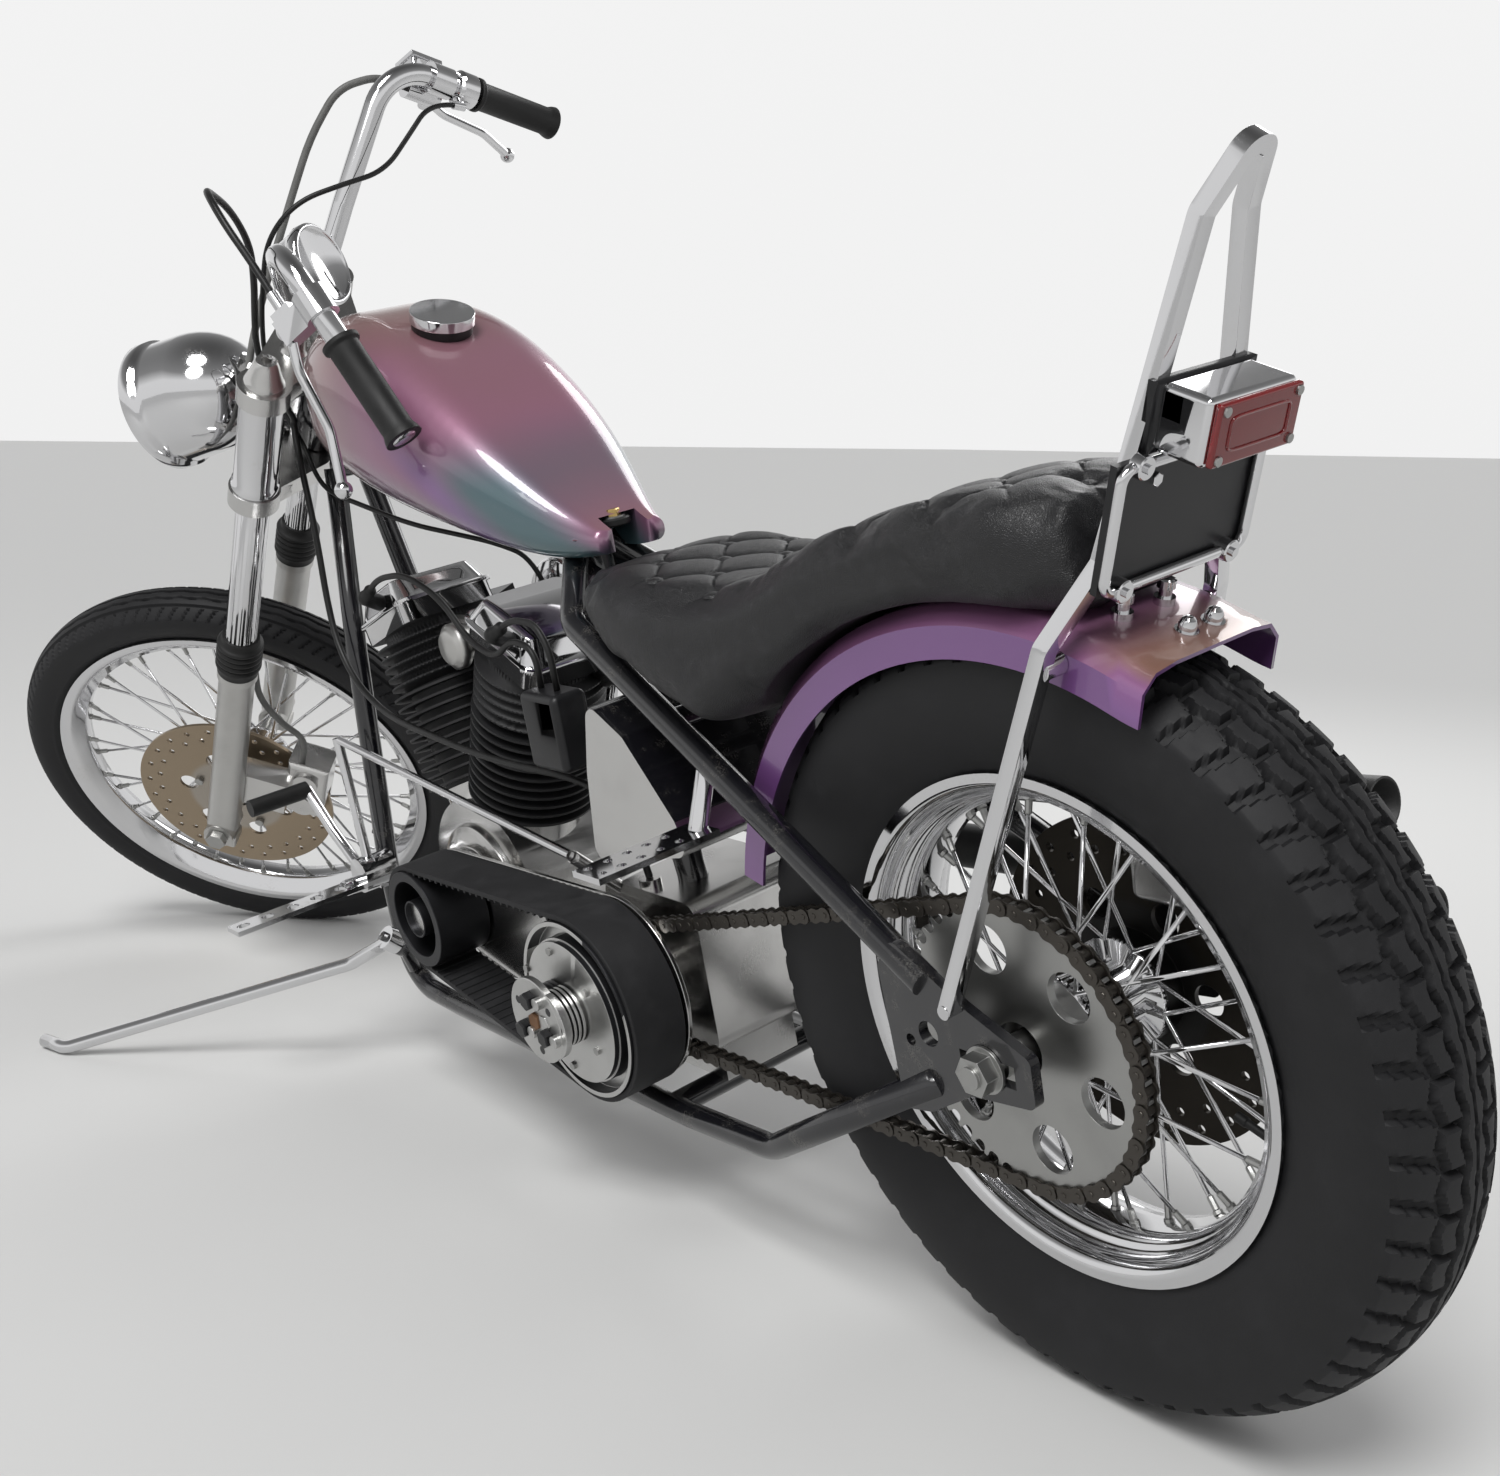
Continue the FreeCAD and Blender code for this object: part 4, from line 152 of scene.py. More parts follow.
# Shader building
class Wire:
    """An output socket of a node; arithmetic on it adds Math nodes."""

    def __init__(self, nodes: "Nodes", socket: Any) -> None:
        """Keeps the socket and the tree that it belongs to."""
        self.nodes, self.socket = nodes, socket

    def _math(self, operation: str, *others: Any, first: bool = True, clamp: bool = False) -> "Wire":
        """Adds a Math node.

        Args:
            operation: the node's operation.
            others: its other inputs.
            first: whether this wire is the first input.
            clamp: whether the result is kept between 0 and 1.
        Returns:
            The result.
        """
        inputs = (self, *others) if first else (*others, self)
        return self.nodes.wire("ShaderNodeMath", {"operation": operation, "use_clamp": clamp}, dict(enumerate(inputs)))

    def __add__(self, other: Any) -> "Wire":
        """Sum."""
        return self._math("ADD", other)

    def __sub__(self, other: Any) -> "Wire":
        """Difference."""
        return self._math("SUBTRACT", other)

    def __rsub__(self, other: Any) -> "Wire":
        """Difference from a number."""
        return self._math("SUBTRACT", other, first=False)

    def __mul__(self, other: Any) -> "Wire":
        """Product."""
        return self._math("MULTIPLY", other)

    __radd__, __rmul__ = __add__, __mul__

    def size(self) -> "Wire":
        """Absolute value."""
        return self._math("ABSOLUTE")

    def highest(self, other: Any) -> "Wire":
        """The larger of the two."""
        return self._math("MAXIMUM", other)

    def unit(self) -> "Wire":
        """Kept between 0 and 1."""
        return self._math("ADD", 0.0, clamp=True)

    def step(self, low: float, high: float) -> "Wire":
        """0 below low, 1 above high, and smooth between them."""
        return self.nodes.wire("ShaderNodeMapRange", {"interpolation_type": "SMOOTHSTEP"},
                               {"Value": self, "From Min": low, "From Max": high})


class Nodes:
    """A node tree that is being built."""

    def __init__(self, tree: Any) -> None:
        """Keeps the tree."""
        self.tree = tree

    def link(self, value: Any, socket: Any) -> None:
        """Links a wire to a socket, or sets the socket.

        Args:
            value: a wire, a number, a vector or a colour.
            socket: the socket that takes it.
        """
        if isinstance(value, Wire):
            self.tree.links.new(value.socket, socket)
        elif socket.type == "RGBA":
            socket.default_value = (*value, 1.0)
        else:
            socket.default_value = value

    def node(self, kind: str, settings: dict[str, Any], values: dict[Key, Any]) -> Any:
        """Adds a node, with its settings first and then the values or links of its sockets.

        Args:
            kind: the node's type.
            settings: its properties; "stops" is a ramp's list of (place, colour).
            values: socket name or number to a number, a colour or a wire.
        Returns:
            The node.
        """
        node = self.tree.nodes.new(kind)
        for key, value in settings.items():
            if key == "stops":
                ramp = node.color_ramp
                while len(ramp.elements) < len(value):
                    ramp.elements.new(0.5)
                for element, (place, colour) in zip(ramp.elements, value):
                    element.position = place
                    element.color = (*colour, 1.0)
            else:
                setattr(node, key, value)
        for key, value in values.items():
            self.link(value, node.inputs[key])
        return node

    def wire(self, kind: str, settings: dict[str, Any], values: dict[Key, Any], output: Key = 0) -> Wire:
        """Adds a node and returns one of its outputs."""
        return Wire(self, self.node(kind, settings, values).outputs[output])

    def vector(self, operation: str, *values: Any, output: Key = 0) -> Wire:
        """Adds a Vector Math node; a dot product and a length come out at "Value"."""
        return self.wire("ShaderNodeVectorMath", {"operation": operation}, dict(enumerate(values)), output)

    def mix(self, factor: Any, low: Any, high: Any) -> Wire:
        """A colour between two colours."""
        return self.wire("ShaderNodeMix", {"data_type": "RGBA"}, {0: factor, 6: low, 7: high}, 2)

    def ramp(self, factor: Any, stops: Sequence[tuple[float, Point]]) -> Wire:
        """A colour between a ramp's stops, which are (place, colour)."""
        return self.wire("ShaderNodeValToRGB", {"stops": stops}, {0: factor})


class Shader(Nodes):
    """A material and its node tree."""

    def __init__(self, name: str) -> None:
        """Starts a material with one Principled shader."""
        self.material = bpy.data.materials.new(name)
        self.material.use_nodes = True
        super().__init__(self.material.node_tree)
        self.surface = self.tree.nodes["Principled BSDF"]

    def place(self) -> Wire:
        """Object coordinates."""
        return self.wire("ShaderNodeTexCoord", {}, {}, "Object")

    def noise(self, scale: float, detail: float = 3.0, rough: float = 0.55, vector: Optional[Wire] = None) -> Wire:
        """Noise between about 0.2 and 0.8; scale is in turns per metre."""
        return self.wire("ShaderNodeTexNoise", {}, {"Vector": vector or self.place(), "Scale": scale,
                                                    "Detail": detail, "Roughness": rough})

    def cells(self, scale: float, feature: str = "F1") -> Wire:
        """Distance in a pattern of cells."""
        return self.wire("ShaderNodeTexVoronoi", {"feature": feature}, {"Vector": self.place(), "Scale": scale},
                         "Distance")

    def bump(self, height: Wire, depth: float, strength: float) -> None:
        """Adds a bump; depth is how many metres a height of 1 stands, and strength the share that shows."""
        values = {"Height": height, "Distance": depth, "Strength": strength}
        self.set(Normal=self.wire("ShaderNodeBump", {}, values, "Normal"))

    def set(self, **values: Any) -> "Shader":
        """Sets sockets of the surface.

        Args:
            values: socket names, with a low line for each space, and what they take.
        Returns:
            This shader.
        """
        for key, value in values.items():
            self.link(value, self.surface.inputs[key.replace("_", " ")])
        return self


# Finishes
@dataclass(frozen=True)
class Finish:
    """A finish: a material slot of the record, a colour and how it shines."""

    slot: str
    colour: Point = (0.5, 0.5, 0.5)
    roughness: float = 0.4
    metallic: float = 0.0

    def material(self) -> Any:
        """The finish's material, which is built once.

        Returns:
            The material.
        """
        if self not in MIXED:
            shader = Shader("%s_%s_%d" % (self.slot, type(self).__name__.lower(), len(MIXED) + 1))
            shader.set(Base_Color=self.colour, Roughness=self.roughness, Metallic=self.metallic)
            self.paint(shader)
            MIXED[self] = shader.material
        return MIXED[self]

    def shade(self, factor: float) -> Point:
        """The colour times a factor."""
        return tuple(c * factor for c in self.colour)

    def paint(self, shader: Shader) -> None:
        """Adds the finish's own nodes; a plain finish has none.

        Args:
            shader: the material's nodes.
        """


MIXED: dict[Finish, Any] = {}


class Plated(Finish):
    """Polished plate with faint smears and dust in it."""

    dust = (0.44, 0.41, 0.37)

    def paint(self, shader: Shader) -> None:
        """Roughness follows soft smears; specks of dust dull and tint it."""
        smear = shader.noise(14.0, 5.0, 0.65)
        fine = shader.noise(420.0, 2.0, 0.5)
        dust = smear.step(0.56, 0.78) * fine.step(0.42, 0.62)
        shader.set(Roughness=(self.roughness + smear * 0.06 + dust * 0.16).unit(),
                   Base_Color=shader.mix(dust * 0.35, self.colour, self.dust))


class Turned(Finish):
    """Bare alloy or steel with fine tool marks and dull spots."""

    def paint(self, shader: Shader) -> None:
        """Stretched noise makes the marks; cloudy oxide changes colour and gloss."""
        marks = shader.noise(150.0, 4.0, 0.7, shader.vector("MULTIPLY", shader.place(), (1.0, 6.0, 1.0)))
        cloud = shader.noise(13.0, 4.0, 0.5)
        pits = shader.cells(260.0).step(0.02, 0.12)
        dull = cloud.step(0.45, 0.75)
        shader.set(Base_Color=shader.mix(dull * 0.55, self.colour, self.shade(0.80)),
                   Roughness=(self.roughness + dull * 0.07 + marks * 0.08).unit())
        shader.bump(marks * 0.6 + pits * 0.4, 0.00006, 0.6)


class Lacquer(Finish):
    """Gloss paint under a clear coat, with orange peel and light dust."""

    dust = (0.16, 0.15, 0.13)

    def paint(self, shader: Shader) -> None:
        """Dust lightens the colour a little; the coat carries the gloss."""
        dust = shader.noise(36.0, 6.0, 0.7).step(0.5, 0.8) * shader.noise(600.0, 2.0).step(0.4, 0.6)
        shader.set(Base_Color=shader.mix(dust * 0.5, self.colour, self.dust),
                   Roughness=(self.roughness + dust * 0.25).unit(), Coat_Weight=0.7, Coat_Roughness=0.05)
        shader.bump(shader.noise(240.0, 2.0), 0.00005, 0.4)


class FlipPaint(Finish):
    """Colour-shift paint, its shift with light and view painted in by facing: bronze up, magenta flanks with a painted
    highlight band, painted shade facing down, teal low at the rear.
    """

    bike_up = (0.022, 0.208, 0.978)
    bronze, tail_bronze = (0.235, 0.125, 0.110), (0.260, 0.140, 0.105)
    violet, teal, flake = (0.190, 0.100, 0.330), (0.045, 0.125, 0.135), (0.50, 0.36, 0.50)

    def along(self, shader: Shader, axis: int) -> Wire:
        """The place along one of the bike's own axes.

        Args:
            shader: the material's nodes.
            axis: 0 for x, 2 for z.
        Returns:
            The place in metres.
        """
        rows = BIKE.matrix()
        direction = tuple(float(v) for v in rows[:, axis])
        start = float(rows[:, axis] @ rows[:, 3]) / 1000.0
        return shader.vector("DOT_PRODUCT", shader.place(), direction, output="Value") - start

    def paint(self, shader: Shader) -> None:
        """The facing, in the bike's axes, and the place choose the colour, painting in the shift, painted shade and
        painted highlights; flakes sparkle in it.
        """
        normal = shader.wire("ShaderNodeTexCoord", {}, {}, "Normal")
        up = shader.vector("DOT_PRODUCT", normal, self.bike_up, output="Value")
        x, z = self.along(shader, 0), self.along(shader, 2)
        facing = up + (shader.noise(7.0, 3.0, 0.5) - 0.5) * 0.16
        # Facing stands in for the angle of light and view: the ramp's dark low end is painted shade where the paint
        # faces down.
        tank = shader.ramp(facing * 0.5 + 0.5, (
            (0.0, (0.055, 0.045, 0.080)), (0.25, (0.150, 0.065, 0.130)), (0.50, (0.280, 0.115, 0.205)),
            (0.85, (0.310, 0.135, 0.215)), (0.94, (0.280, 0.135, 0.165)), (1.0, (0.240, 0.125, 0.115))))
        tank = shader.mix((x + z * 0.35).step(1.08, 1.24) * 0.80, tank, self.bronze)
        slope = x - z
        low = (1.0 - z.step(0.77, 0.85)) * (1.0 - facing.step(0.70, 0.95)) * (1.0 - x.step(0.66, 0.78))
        # A painted highlight band high on the flank, and teal painted in low at the rear.
        violet = (1.0 - (slope + 0.070).size().step(0.000, 0.045)) * (1.0 - z.step(0.79, 0.86))
        teal = (1.0 - (slope + 0.130).size().step(0.012, 0.075)) * low
        tank = shader.mix(violet * 0.55, tank, self.violet)
        tank = shader.mix(teal * 0.90, tank, self.teal)
        # The fender's ramp: painted shade where it faces down and a painted highlight at the shoulders; the tail top is
        # painted bronze.
        fender = shader.ramp(facing * 0.5 + 0.5, (
            (0.0, (0.050, 0.022, 0.080)), (0.40, (0.140, 0.052, 0.185)), (0.55, (0.200, 0.078, 0.260)),
            (0.75, (0.270, 0.105, 0.250)), (1.0, (0.230, 0.100, 0.190))))
        tail = 1.0 - x.step(-0.155, -0.085)
        fender = shader.mix(tail * facing.step(0.5, 0.9), fender, self.tail_bronze)
        colour = shader.mix(x.step(0.40, 0.44), fender, tank)
        gap = 1.0 - shader.cells(1500.0).step(0.10, 0.32)
        colour = shader.mix(gap * 0.08, colour, self.flake)
        shader.set(Base_Color=colour, Roughness=(self.roughness + gap * 0.10).unit(), Coat_Weight=1.0,
                   Coat_Roughness=0.03)
        shader.bump(shader.noise(150.0, 2.0), 0.00004, 0.3)


class Hide(Finish):
    """Black leather: pebbled grain, with a soft painted sheen on the fold crowns."""

    def paint(self, shader: Shader) -> None:
        """Cells and fine noise make the grain; a painted sheen lightens the fold crowns."""
        grain = shader.cells(620.0, "DISTANCE_TO_EDGE").step(0.0, 0.28)
        pores = shader.noise(1500.0, 3.0, 0.6)
        folds = shader.noise(70.0, 4.0, 0.6)
        # Painted sheen: lighter, a little glossier fold crowns.
        crown_sheen = folds.step(0.48, 0.72)
        shader.set(Base_Color=shader.mix(crown_sheen * 0.6, self.colour, self.shade(2.3)),
                   Roughness=(self.roughness + pores * 0.14 - crown_sheen * 0.05).unit(), Specular_IOR_Level=0.5)
        shader.bump(grain * 0.7 + folds * 0.6 + pores * 0.2, 0.00035, 0.8)


class Moulded(Finish):
    """Rubber or plastic with a fine moulded texture and grey dust."""

    def paint(self, shader: Shader) -> None:
        """Dust settles in broad patches."""
        patch = shader.noise(26.0, 6.0, 0.65).step(0.42, 0.75)
        fine = shader.noise(900.0, 2.0)
        dusty = tuple(min(1.0, c * 1.6 + 0.008) for c in self.colour)
        shader.set(Base_Color=shader.mix(patch * 0.6, self.colour, dusty),
                   Roughness=(self.roughness + patch * 0.12 + fine * 0.06).unit(), Specular_IOR_Level=0.35)
        shader.bump(fine, 0.00012, 0.5)


class HeatPaint(Finish):
    """Matt heat-proof paint over rough cast iron or pipe."""

    rust = (0.13, 0.05, 0.02)

    def paint(self, shader: Shader) -> None:
        """Fine casting grain, with rust showing through in specks."""
        grain = shader.noise(520.0, 5.0, 0.7)
        specks = shader.cells(300.0).step(0.0, 0.10)
        rust = (1.0 - specks) * shader.noise(30.0, 4.0).step(0.52, 0.70)
        shader.set(Base_Color=shader.mix(rust * 0.7, self.colour, self.rust),
                   Roughness=(self.roughness + grain * 0.15).unit())
        shader.bump(grain, 0.00025, 0.7)


@dataclass(frozen=True)
class Ground(Finish):
    """Ground disc steel, with marks that run round its centre."""

    axes: Axes = BIKE
    heat = (0.86, 0.74, 0.58)

    def paint(self, shader: Shader) -> None:
        """Rings of noise by distance from the wheel's centre; a straw tint from heat near the rim."""
        centre = tuple(float(c) for c in self.axes.place(ORIGIN))
        offset = shader.vector("SUBTRACT", shader.place(), centre)
        distance = shader.vector("LENGTH", offset, output="Value")
        rings = shader.wire("ShaderNodeTexNoise", {"noise_dimensions": "1D"}, {"W": distance * 1400.0, "Scale": 1.0})
        band = distance.step(0.092, 0.100)
        tint = shader.mix(band, self.colour, tuple(c * k for c, k in zip(self.colour, self.heat)))
        shader.set(Base_Color=shader.mix(rings * 0.5, tint, self.shade(0.5)),
                   Roughness=(self.roughness + rings * 0.18).unit())
        shader.bump(rings, 0.00008, 0.6)


class Clear(Finish):
    """Glass or clear plastic."""

    def paint(self, shader: Shader) -> None:
        """Plain values only, because these sockets take no pattern."""
        shader.set(Transmission_Weight=0.9 if self.colour[1] > 0.5 else 0.35, IOR=1.46, Coat_Weight=0.5)


CHROME = Plated("chrome", (0.66, 0.66, 0.67), 0.05, 1.0)
POLISHED = Turned("polished_alloy", (0.58, 0.575, 0.565), 0.17, 1.0)
SATIN = Turned("satin_alloy", (0.50, 0.495, 0.48), 0.32, 1.0)
TURNED_ALLOY = Turned("clutch_alloy", (0.54, 0.54, 0.53), 0.26, 1.0)
STEEL = Turned("steel", (0.38, 0.38, 0.37), 0.30, 1.0)
DARK_STEEL = Turned("dark_steel", (0.030, 0.030, 0.033), 0.38, 0.8)
FRAME_BLACK = Lacquer("frame_paint", (0.006, 0.006, 0.008), 0.22)
BODY_PAINT = FlipPaint("body_paint", (0.34, 0.15, 0.26), 0.30, 0.30)
BARREL = HeatPaint("black_barrel", (0.010, 0.010, 0.011), 0.48)
EXHAUST_BLACK = HeatPaint("black_exhaust", (0.010, 0.010, 0.010), 0.42)
LEATHER = Hide("seat_leather", (0.006, 0.006, 0.007), 0.34)
RUBBER = Moulded("black_rubber", (0.007, 0.007, 0.007), 0.46)
BELT = Moulded("belt_rubber", (0.011, 0.011, 0.012), 0.62)
TYRE = Moulded("tyre", (0.007, 0.007, 0.008), 0.56)
PLASTIC = Moulded("black_plastic", (0.008, 0.008, 0.009), 0.30)
CABLE = Moulded("cable_black", (0.007, 0.007, 0.007), 0.34)
HOSE = Moulded("hose_grey", (0.12, 0.12, 0.115), 0.40)
RED_LENS = Clear("red_lens", (0.24, 0.006, 0.008), 0.12)
GLASS = Clear("clear_lens", (0.92, 0.94, 0.95), 0.02)
FRONT_DISC = Ground("disc_steel", (0.42, 0.38, 0.33), 0.28, 1.0, FORK)
REAR_DISC = Ground("dark_steel", (0.035, 0.034, 0.033), 0.34, 0.9, REAR_WHEEL)
CHAIN_STEEL = Turned("dark_steel", (0.075, 0.068, 0.060), 0.34, 0.9)
RUSTY = HeatPaint("steel", (0.20, 0.11, 0.06), 0.62, 0.5)
BRASS = Turned("steel", (0.70, 0.50, 0.20), 0.26, 1.0)


@dataclass(frozen=True)
class Patch:
    """Where a node takes a second finish: faces with their middles in a box, near a line along y, or facing up."""

    finish: Finish
    low: Point = (-5000.0, -5000.0, -5000.0)
    high: Point = (5000.0, 5000.0, 5000.0)
    axes: Axes = BIKE
    line: Optional[tuple[float, float, float, float]] = None
    up: float = -2.0

    def covers(self, centres: Array, normals: Array) -> Array:
        """Which faces it covers.

        Args:
            centres: the faces' middles, in the frame.
            normals: the faces' directions, in the frame.
        Returns:
            True for each face inside the box, between the line's two distances, and facing up enough.
        """
        own = self.axes.back(centres)
        inside = np.all((own >= self.low) & (own <= self.high), axis=1)
        inside &= normals @ self.axes.matrix()[:, 2] >= self.up
        if self.line:
            x, z, least, most = self.line
            away = np.hypot(own[:, 0] - x, own[:, 2] - z)
            inside &= (away >= least) & (away <= most)
        return inside


# Shapes
@dataclass
class Shape:
    """Points in a frame and the faces between them."""

    points: Array
    faces: list[list[int]] = field(default_factory=list)

    def join(self, *others: "Shape") -> "Shape":
        """Joins shapes.

        Args:
            others: the shapes to add.
        Returns:
            This shape and the others as one.
        """
        points, faces, start = [self.points], list(self.faces), len(self.points)
        for other in others:
            points.append(other.points)
            faces += [[i + start for i in face] for face in other.faces]
            start += len(other.points)
        return Shape(np.concatenate(points), faces)

    def repeated(self, places: Array) -> "Shape":
        """Copies of this shape.

        Args:
            places: an array of 3 by 4 placements; each point becomes turn @ point + offset.
        Returns:
            All the copies as one shape.
        """
        copies = np.einsum("kij,nj->kni", places[:, :, :3], self.points) + places[:, None, :, 3]
        count = len(self.points)
        faces = [[i + k * count for i in face] for k in range(len(places)) for face in self.faces]
        return Shape(copies.reshape(-1, 3), faces)

    def placed(self, axes: Axes) -> "Shape":
        """The shape carried from an axes' millimetres into the frame."""
        return Shape(axes.place(self.points), self.faces)


def grid(points: Array, wrap_u: bool = False, wrap_v: bool = False, caps: bool = False) -> Shape:
    """Quads over a grid of points.

    Args:
        points: u by v by 3.
        wrap_u: joins the last row to the first.
        wrap_v: joins the last column to the first.
        caps: closes the first and last row with one face each; needs wrap_v.
    Returns:
        The shape.
    """
    rows, columns = points.shape[:2]
    i = np.arange(rows if wrap_u else rows - 1)[:, None]
    j = np.arange(columns if wrap_v else columns - 1)[None, :]
    down, across = (i + 1) % rows, (j + 1) % columns
    quads = np.stack([i * columns + j, down * columns + j, down * columns + across, i * columns + across], -1)
    faces = quads.reshape(-1, 4).tolist()
    if caps:
        faces.append(list(range(columns)))
        faces.append(list(range((rows - 1) * columns, rows * columns))[::-1])
    return Shape(points.reshape(-1, 3), faces)


def basis(axis: Any) -> Array:
    """Directions for something made up along an axis.

    Args:
        axis: the axis, of any length.
    Returns:
        Three unit rows: two across the axis, and the axis.
    """
    w = np.asarray(axis, float)
    w = w / np.linalg.norm(w)
    u = np.cross(w, (0.0, 0.0, 1.0) if abs(w[2]) < 0.9 else (1.0, 0.0, 0.0))
    u = u / np.linalg.norm(u)
    return np.array([u, np.cross(w, u), w])


def turned(outline: Sequence[tuple[float, float]], segments: int = 32, start: Any = ORIGIN, axis: Any = UP) -> Shape:
    """An outline of (along, radius) turned about an axis: start + along * axis + radius * (cos t, sin t).

    Args:
        outline: the outline, from one end to the other; a radius of 0 closes an end.
        segments: number of steps round.
        start: the axis' start point.
        axis: its direction.
    Returns:
        The shape, closed at both ends.
    """
    along, radius = np.array(outline, float).T
    t = np.arange(segments) * 2 * np.pi / segments
    u, v, w = basis(axis)
    ring = np.cos(t)[:, None] * u + np.sin(t)[:, None] * v
    points = np.asarray(start, float) + along[:, None, None] * w + radius[:, None, None] * ring[None]
    return grid(points, wrap_v=True, caps=True)


def bead(path: Array, radius: float, count: int = 8) -> Shape:
    """A round bead along a closed flat path: path + radius * (cos t) beside it + radius * (sin t) out of its plane.

    Args:
        path: n by 3 points.
        radius: the bead's radius.
        count: points round it.
    Returns:
        The shape.
    """
    t = np.arange(count) * 2 * np.pi / count
    tangent = np.roll(path, -1, 0) - np.roll(path, 1, 0)
    tangent = tangent / np.linalg.norm(tangent, axis=1)[:, None]
    side = np.cross(tangent, np.linalg.svd(path - path.mean(0))[2][2])
    side = side / np.linalg.norm(side, axis=1)[:, None]
    up = np.cross(side, tangent)
    around = radius * np.cos(t)[:, None] * side[:, None] + radius * np.sin(t)[:, None] * up[:, None]
    return grid(path[:, None] + around, wrap_u=True, wrap_v=True)


def squarish(share: Array, power: float) -> Array:
    """Cosines or sines to a power, with their sign kept: below 1 it turns a circle into a rounded square."""
    return np.sign(share) * np.abs(share) ** power


def polar(radius: float, angle: Any) -> Array:
    """Points at a radius and at angles, whose last side is one long."""
    return radius * np.concatenate([np.cos(angle), np.sin(angle)], -1)


def head(across: float, height: float, segments: int = 6) -> Shape:
    """A bolt head at the origin, up along z, with its corners eased.

    Args:
        across: size across the flats, or a round head's diameter.
        height: its height.
        segments: 6 for a hexagon, more for a round head.
    Returns:
        The shape.
    """
    r = across / math.sqrt(3.0) if segments == 6 else across / 2
    ease = 0.12 * height
    return turned([(0, r), (height - ease, r), (height, r - 1.4 * ease), (height, 0.0)], segments)


def placements(spots: Spots) -> Array:
    """Placements that set something made up along z at each (point, axis)."""
    return np.array([np.column_stack([basis(axis).T, np.asarray(point, float)]) for point, axis in spots])


def upright(run: Array, out: Array, spots: Array, y: float) -> Array:
    """Placements in a plane across y.

    Args:
        run: where x goes, as (x, z), one for all or one for each.
        out: where z goes, in the same way.
        spots: the places, as (x, z).
        y: their place across.
    Returns:
        An array of 3 by 4 placements.
    """
    places = np.zeros((len(spots), 3, 4))
    places[:, 1, 1], places[:, 1, 3] = 1.0, y
    for column, plane in ((0, run), (2, out), (3, spots)):
        places[:, 0, column], places[:, 2, column] = plane[..., 0], plane[..., 1]
    return places


def read(rows: Any, name: str) -> Array:
    """A property of three parts of a mesh's points or faces.

    Args:
        rows: the mesh's vertices or polygons.
        name: the property.
    Returns:
        An array of n by 3.
    """
    values = np.empty(len(rows) * 3)
    rows.foreach_get(name, values)
    return values.reshape(-1, 3)


def stand(name: str, data: Any) -> Any:
    """Adds an object to the scene.

    Args:
        name: its name.
        data: its mesh, curve, lamp or camera.
    Returns:
        The object.
    """
    thing = bpy.data.objects.new(name, data)
    bpy.context.scene.collection.objects.link(thing)
    return thing


def cleaned(mesh: Any, merge: float, flat: float = 0.0, outward: bool = False) -> None:
    """Merges a mesh's doubles, in place.

    Args:
        mesh: the mesh.
        merge: points closer than this are one.
        flat: faces within this angle, in radians, become one.
        outward: whether the faces are turned outwards.
    """
    work = bmesh.new()
    work.from_mesh(mesh)
    bmesh.ops.remove_doubles(work, verts=work.verts, dist=merge)
    if flat:
        bmesh.ops.dissolve_limit(work, angle_limit=flat, verts=work.verts, edges=work.edges)
    if outward:
        bmesh.ops.recalc_face_normals(work, faces=work.faces)
    work.to_mesh(mesh)
    work.free()


def route(points: Array, radius: float) -> Any:
    """A cable on its route as a curve of order 3, made a mesh.

    Args:
        points: the route's points, in the frame.
        radius: the cable's radius in millimetres.
    Returns:
        The mesh.
    """
    curve = bpy.data.curves.new("route", "CURVE")
    curve.dimensions = "3D"
    curve.bevel_depth = radius / 1000.0
    curve.bevel_resolution = 4
    curve.use_fill_caps = True
    spline = curve.splines.new("NURBS")
    spline.points.add(len(points) - 1)
    spline.points.foreach_set("co", np.column_stack([points, np.ones(len(points))]).ravel())
    spline.order_u = 3
    spline.use_endpoint_u = True
    spline.resolution_u = 8
    holder = stand("route", curve)
    mesh = bpy.data.meshes.new_from_object(holder.evaluated_get(bpy.context.evaluated_depsgraph_get()))
    bpy.data.objects.remove(holder)
    bpy.data.curves.remove(curve)
    return mesh


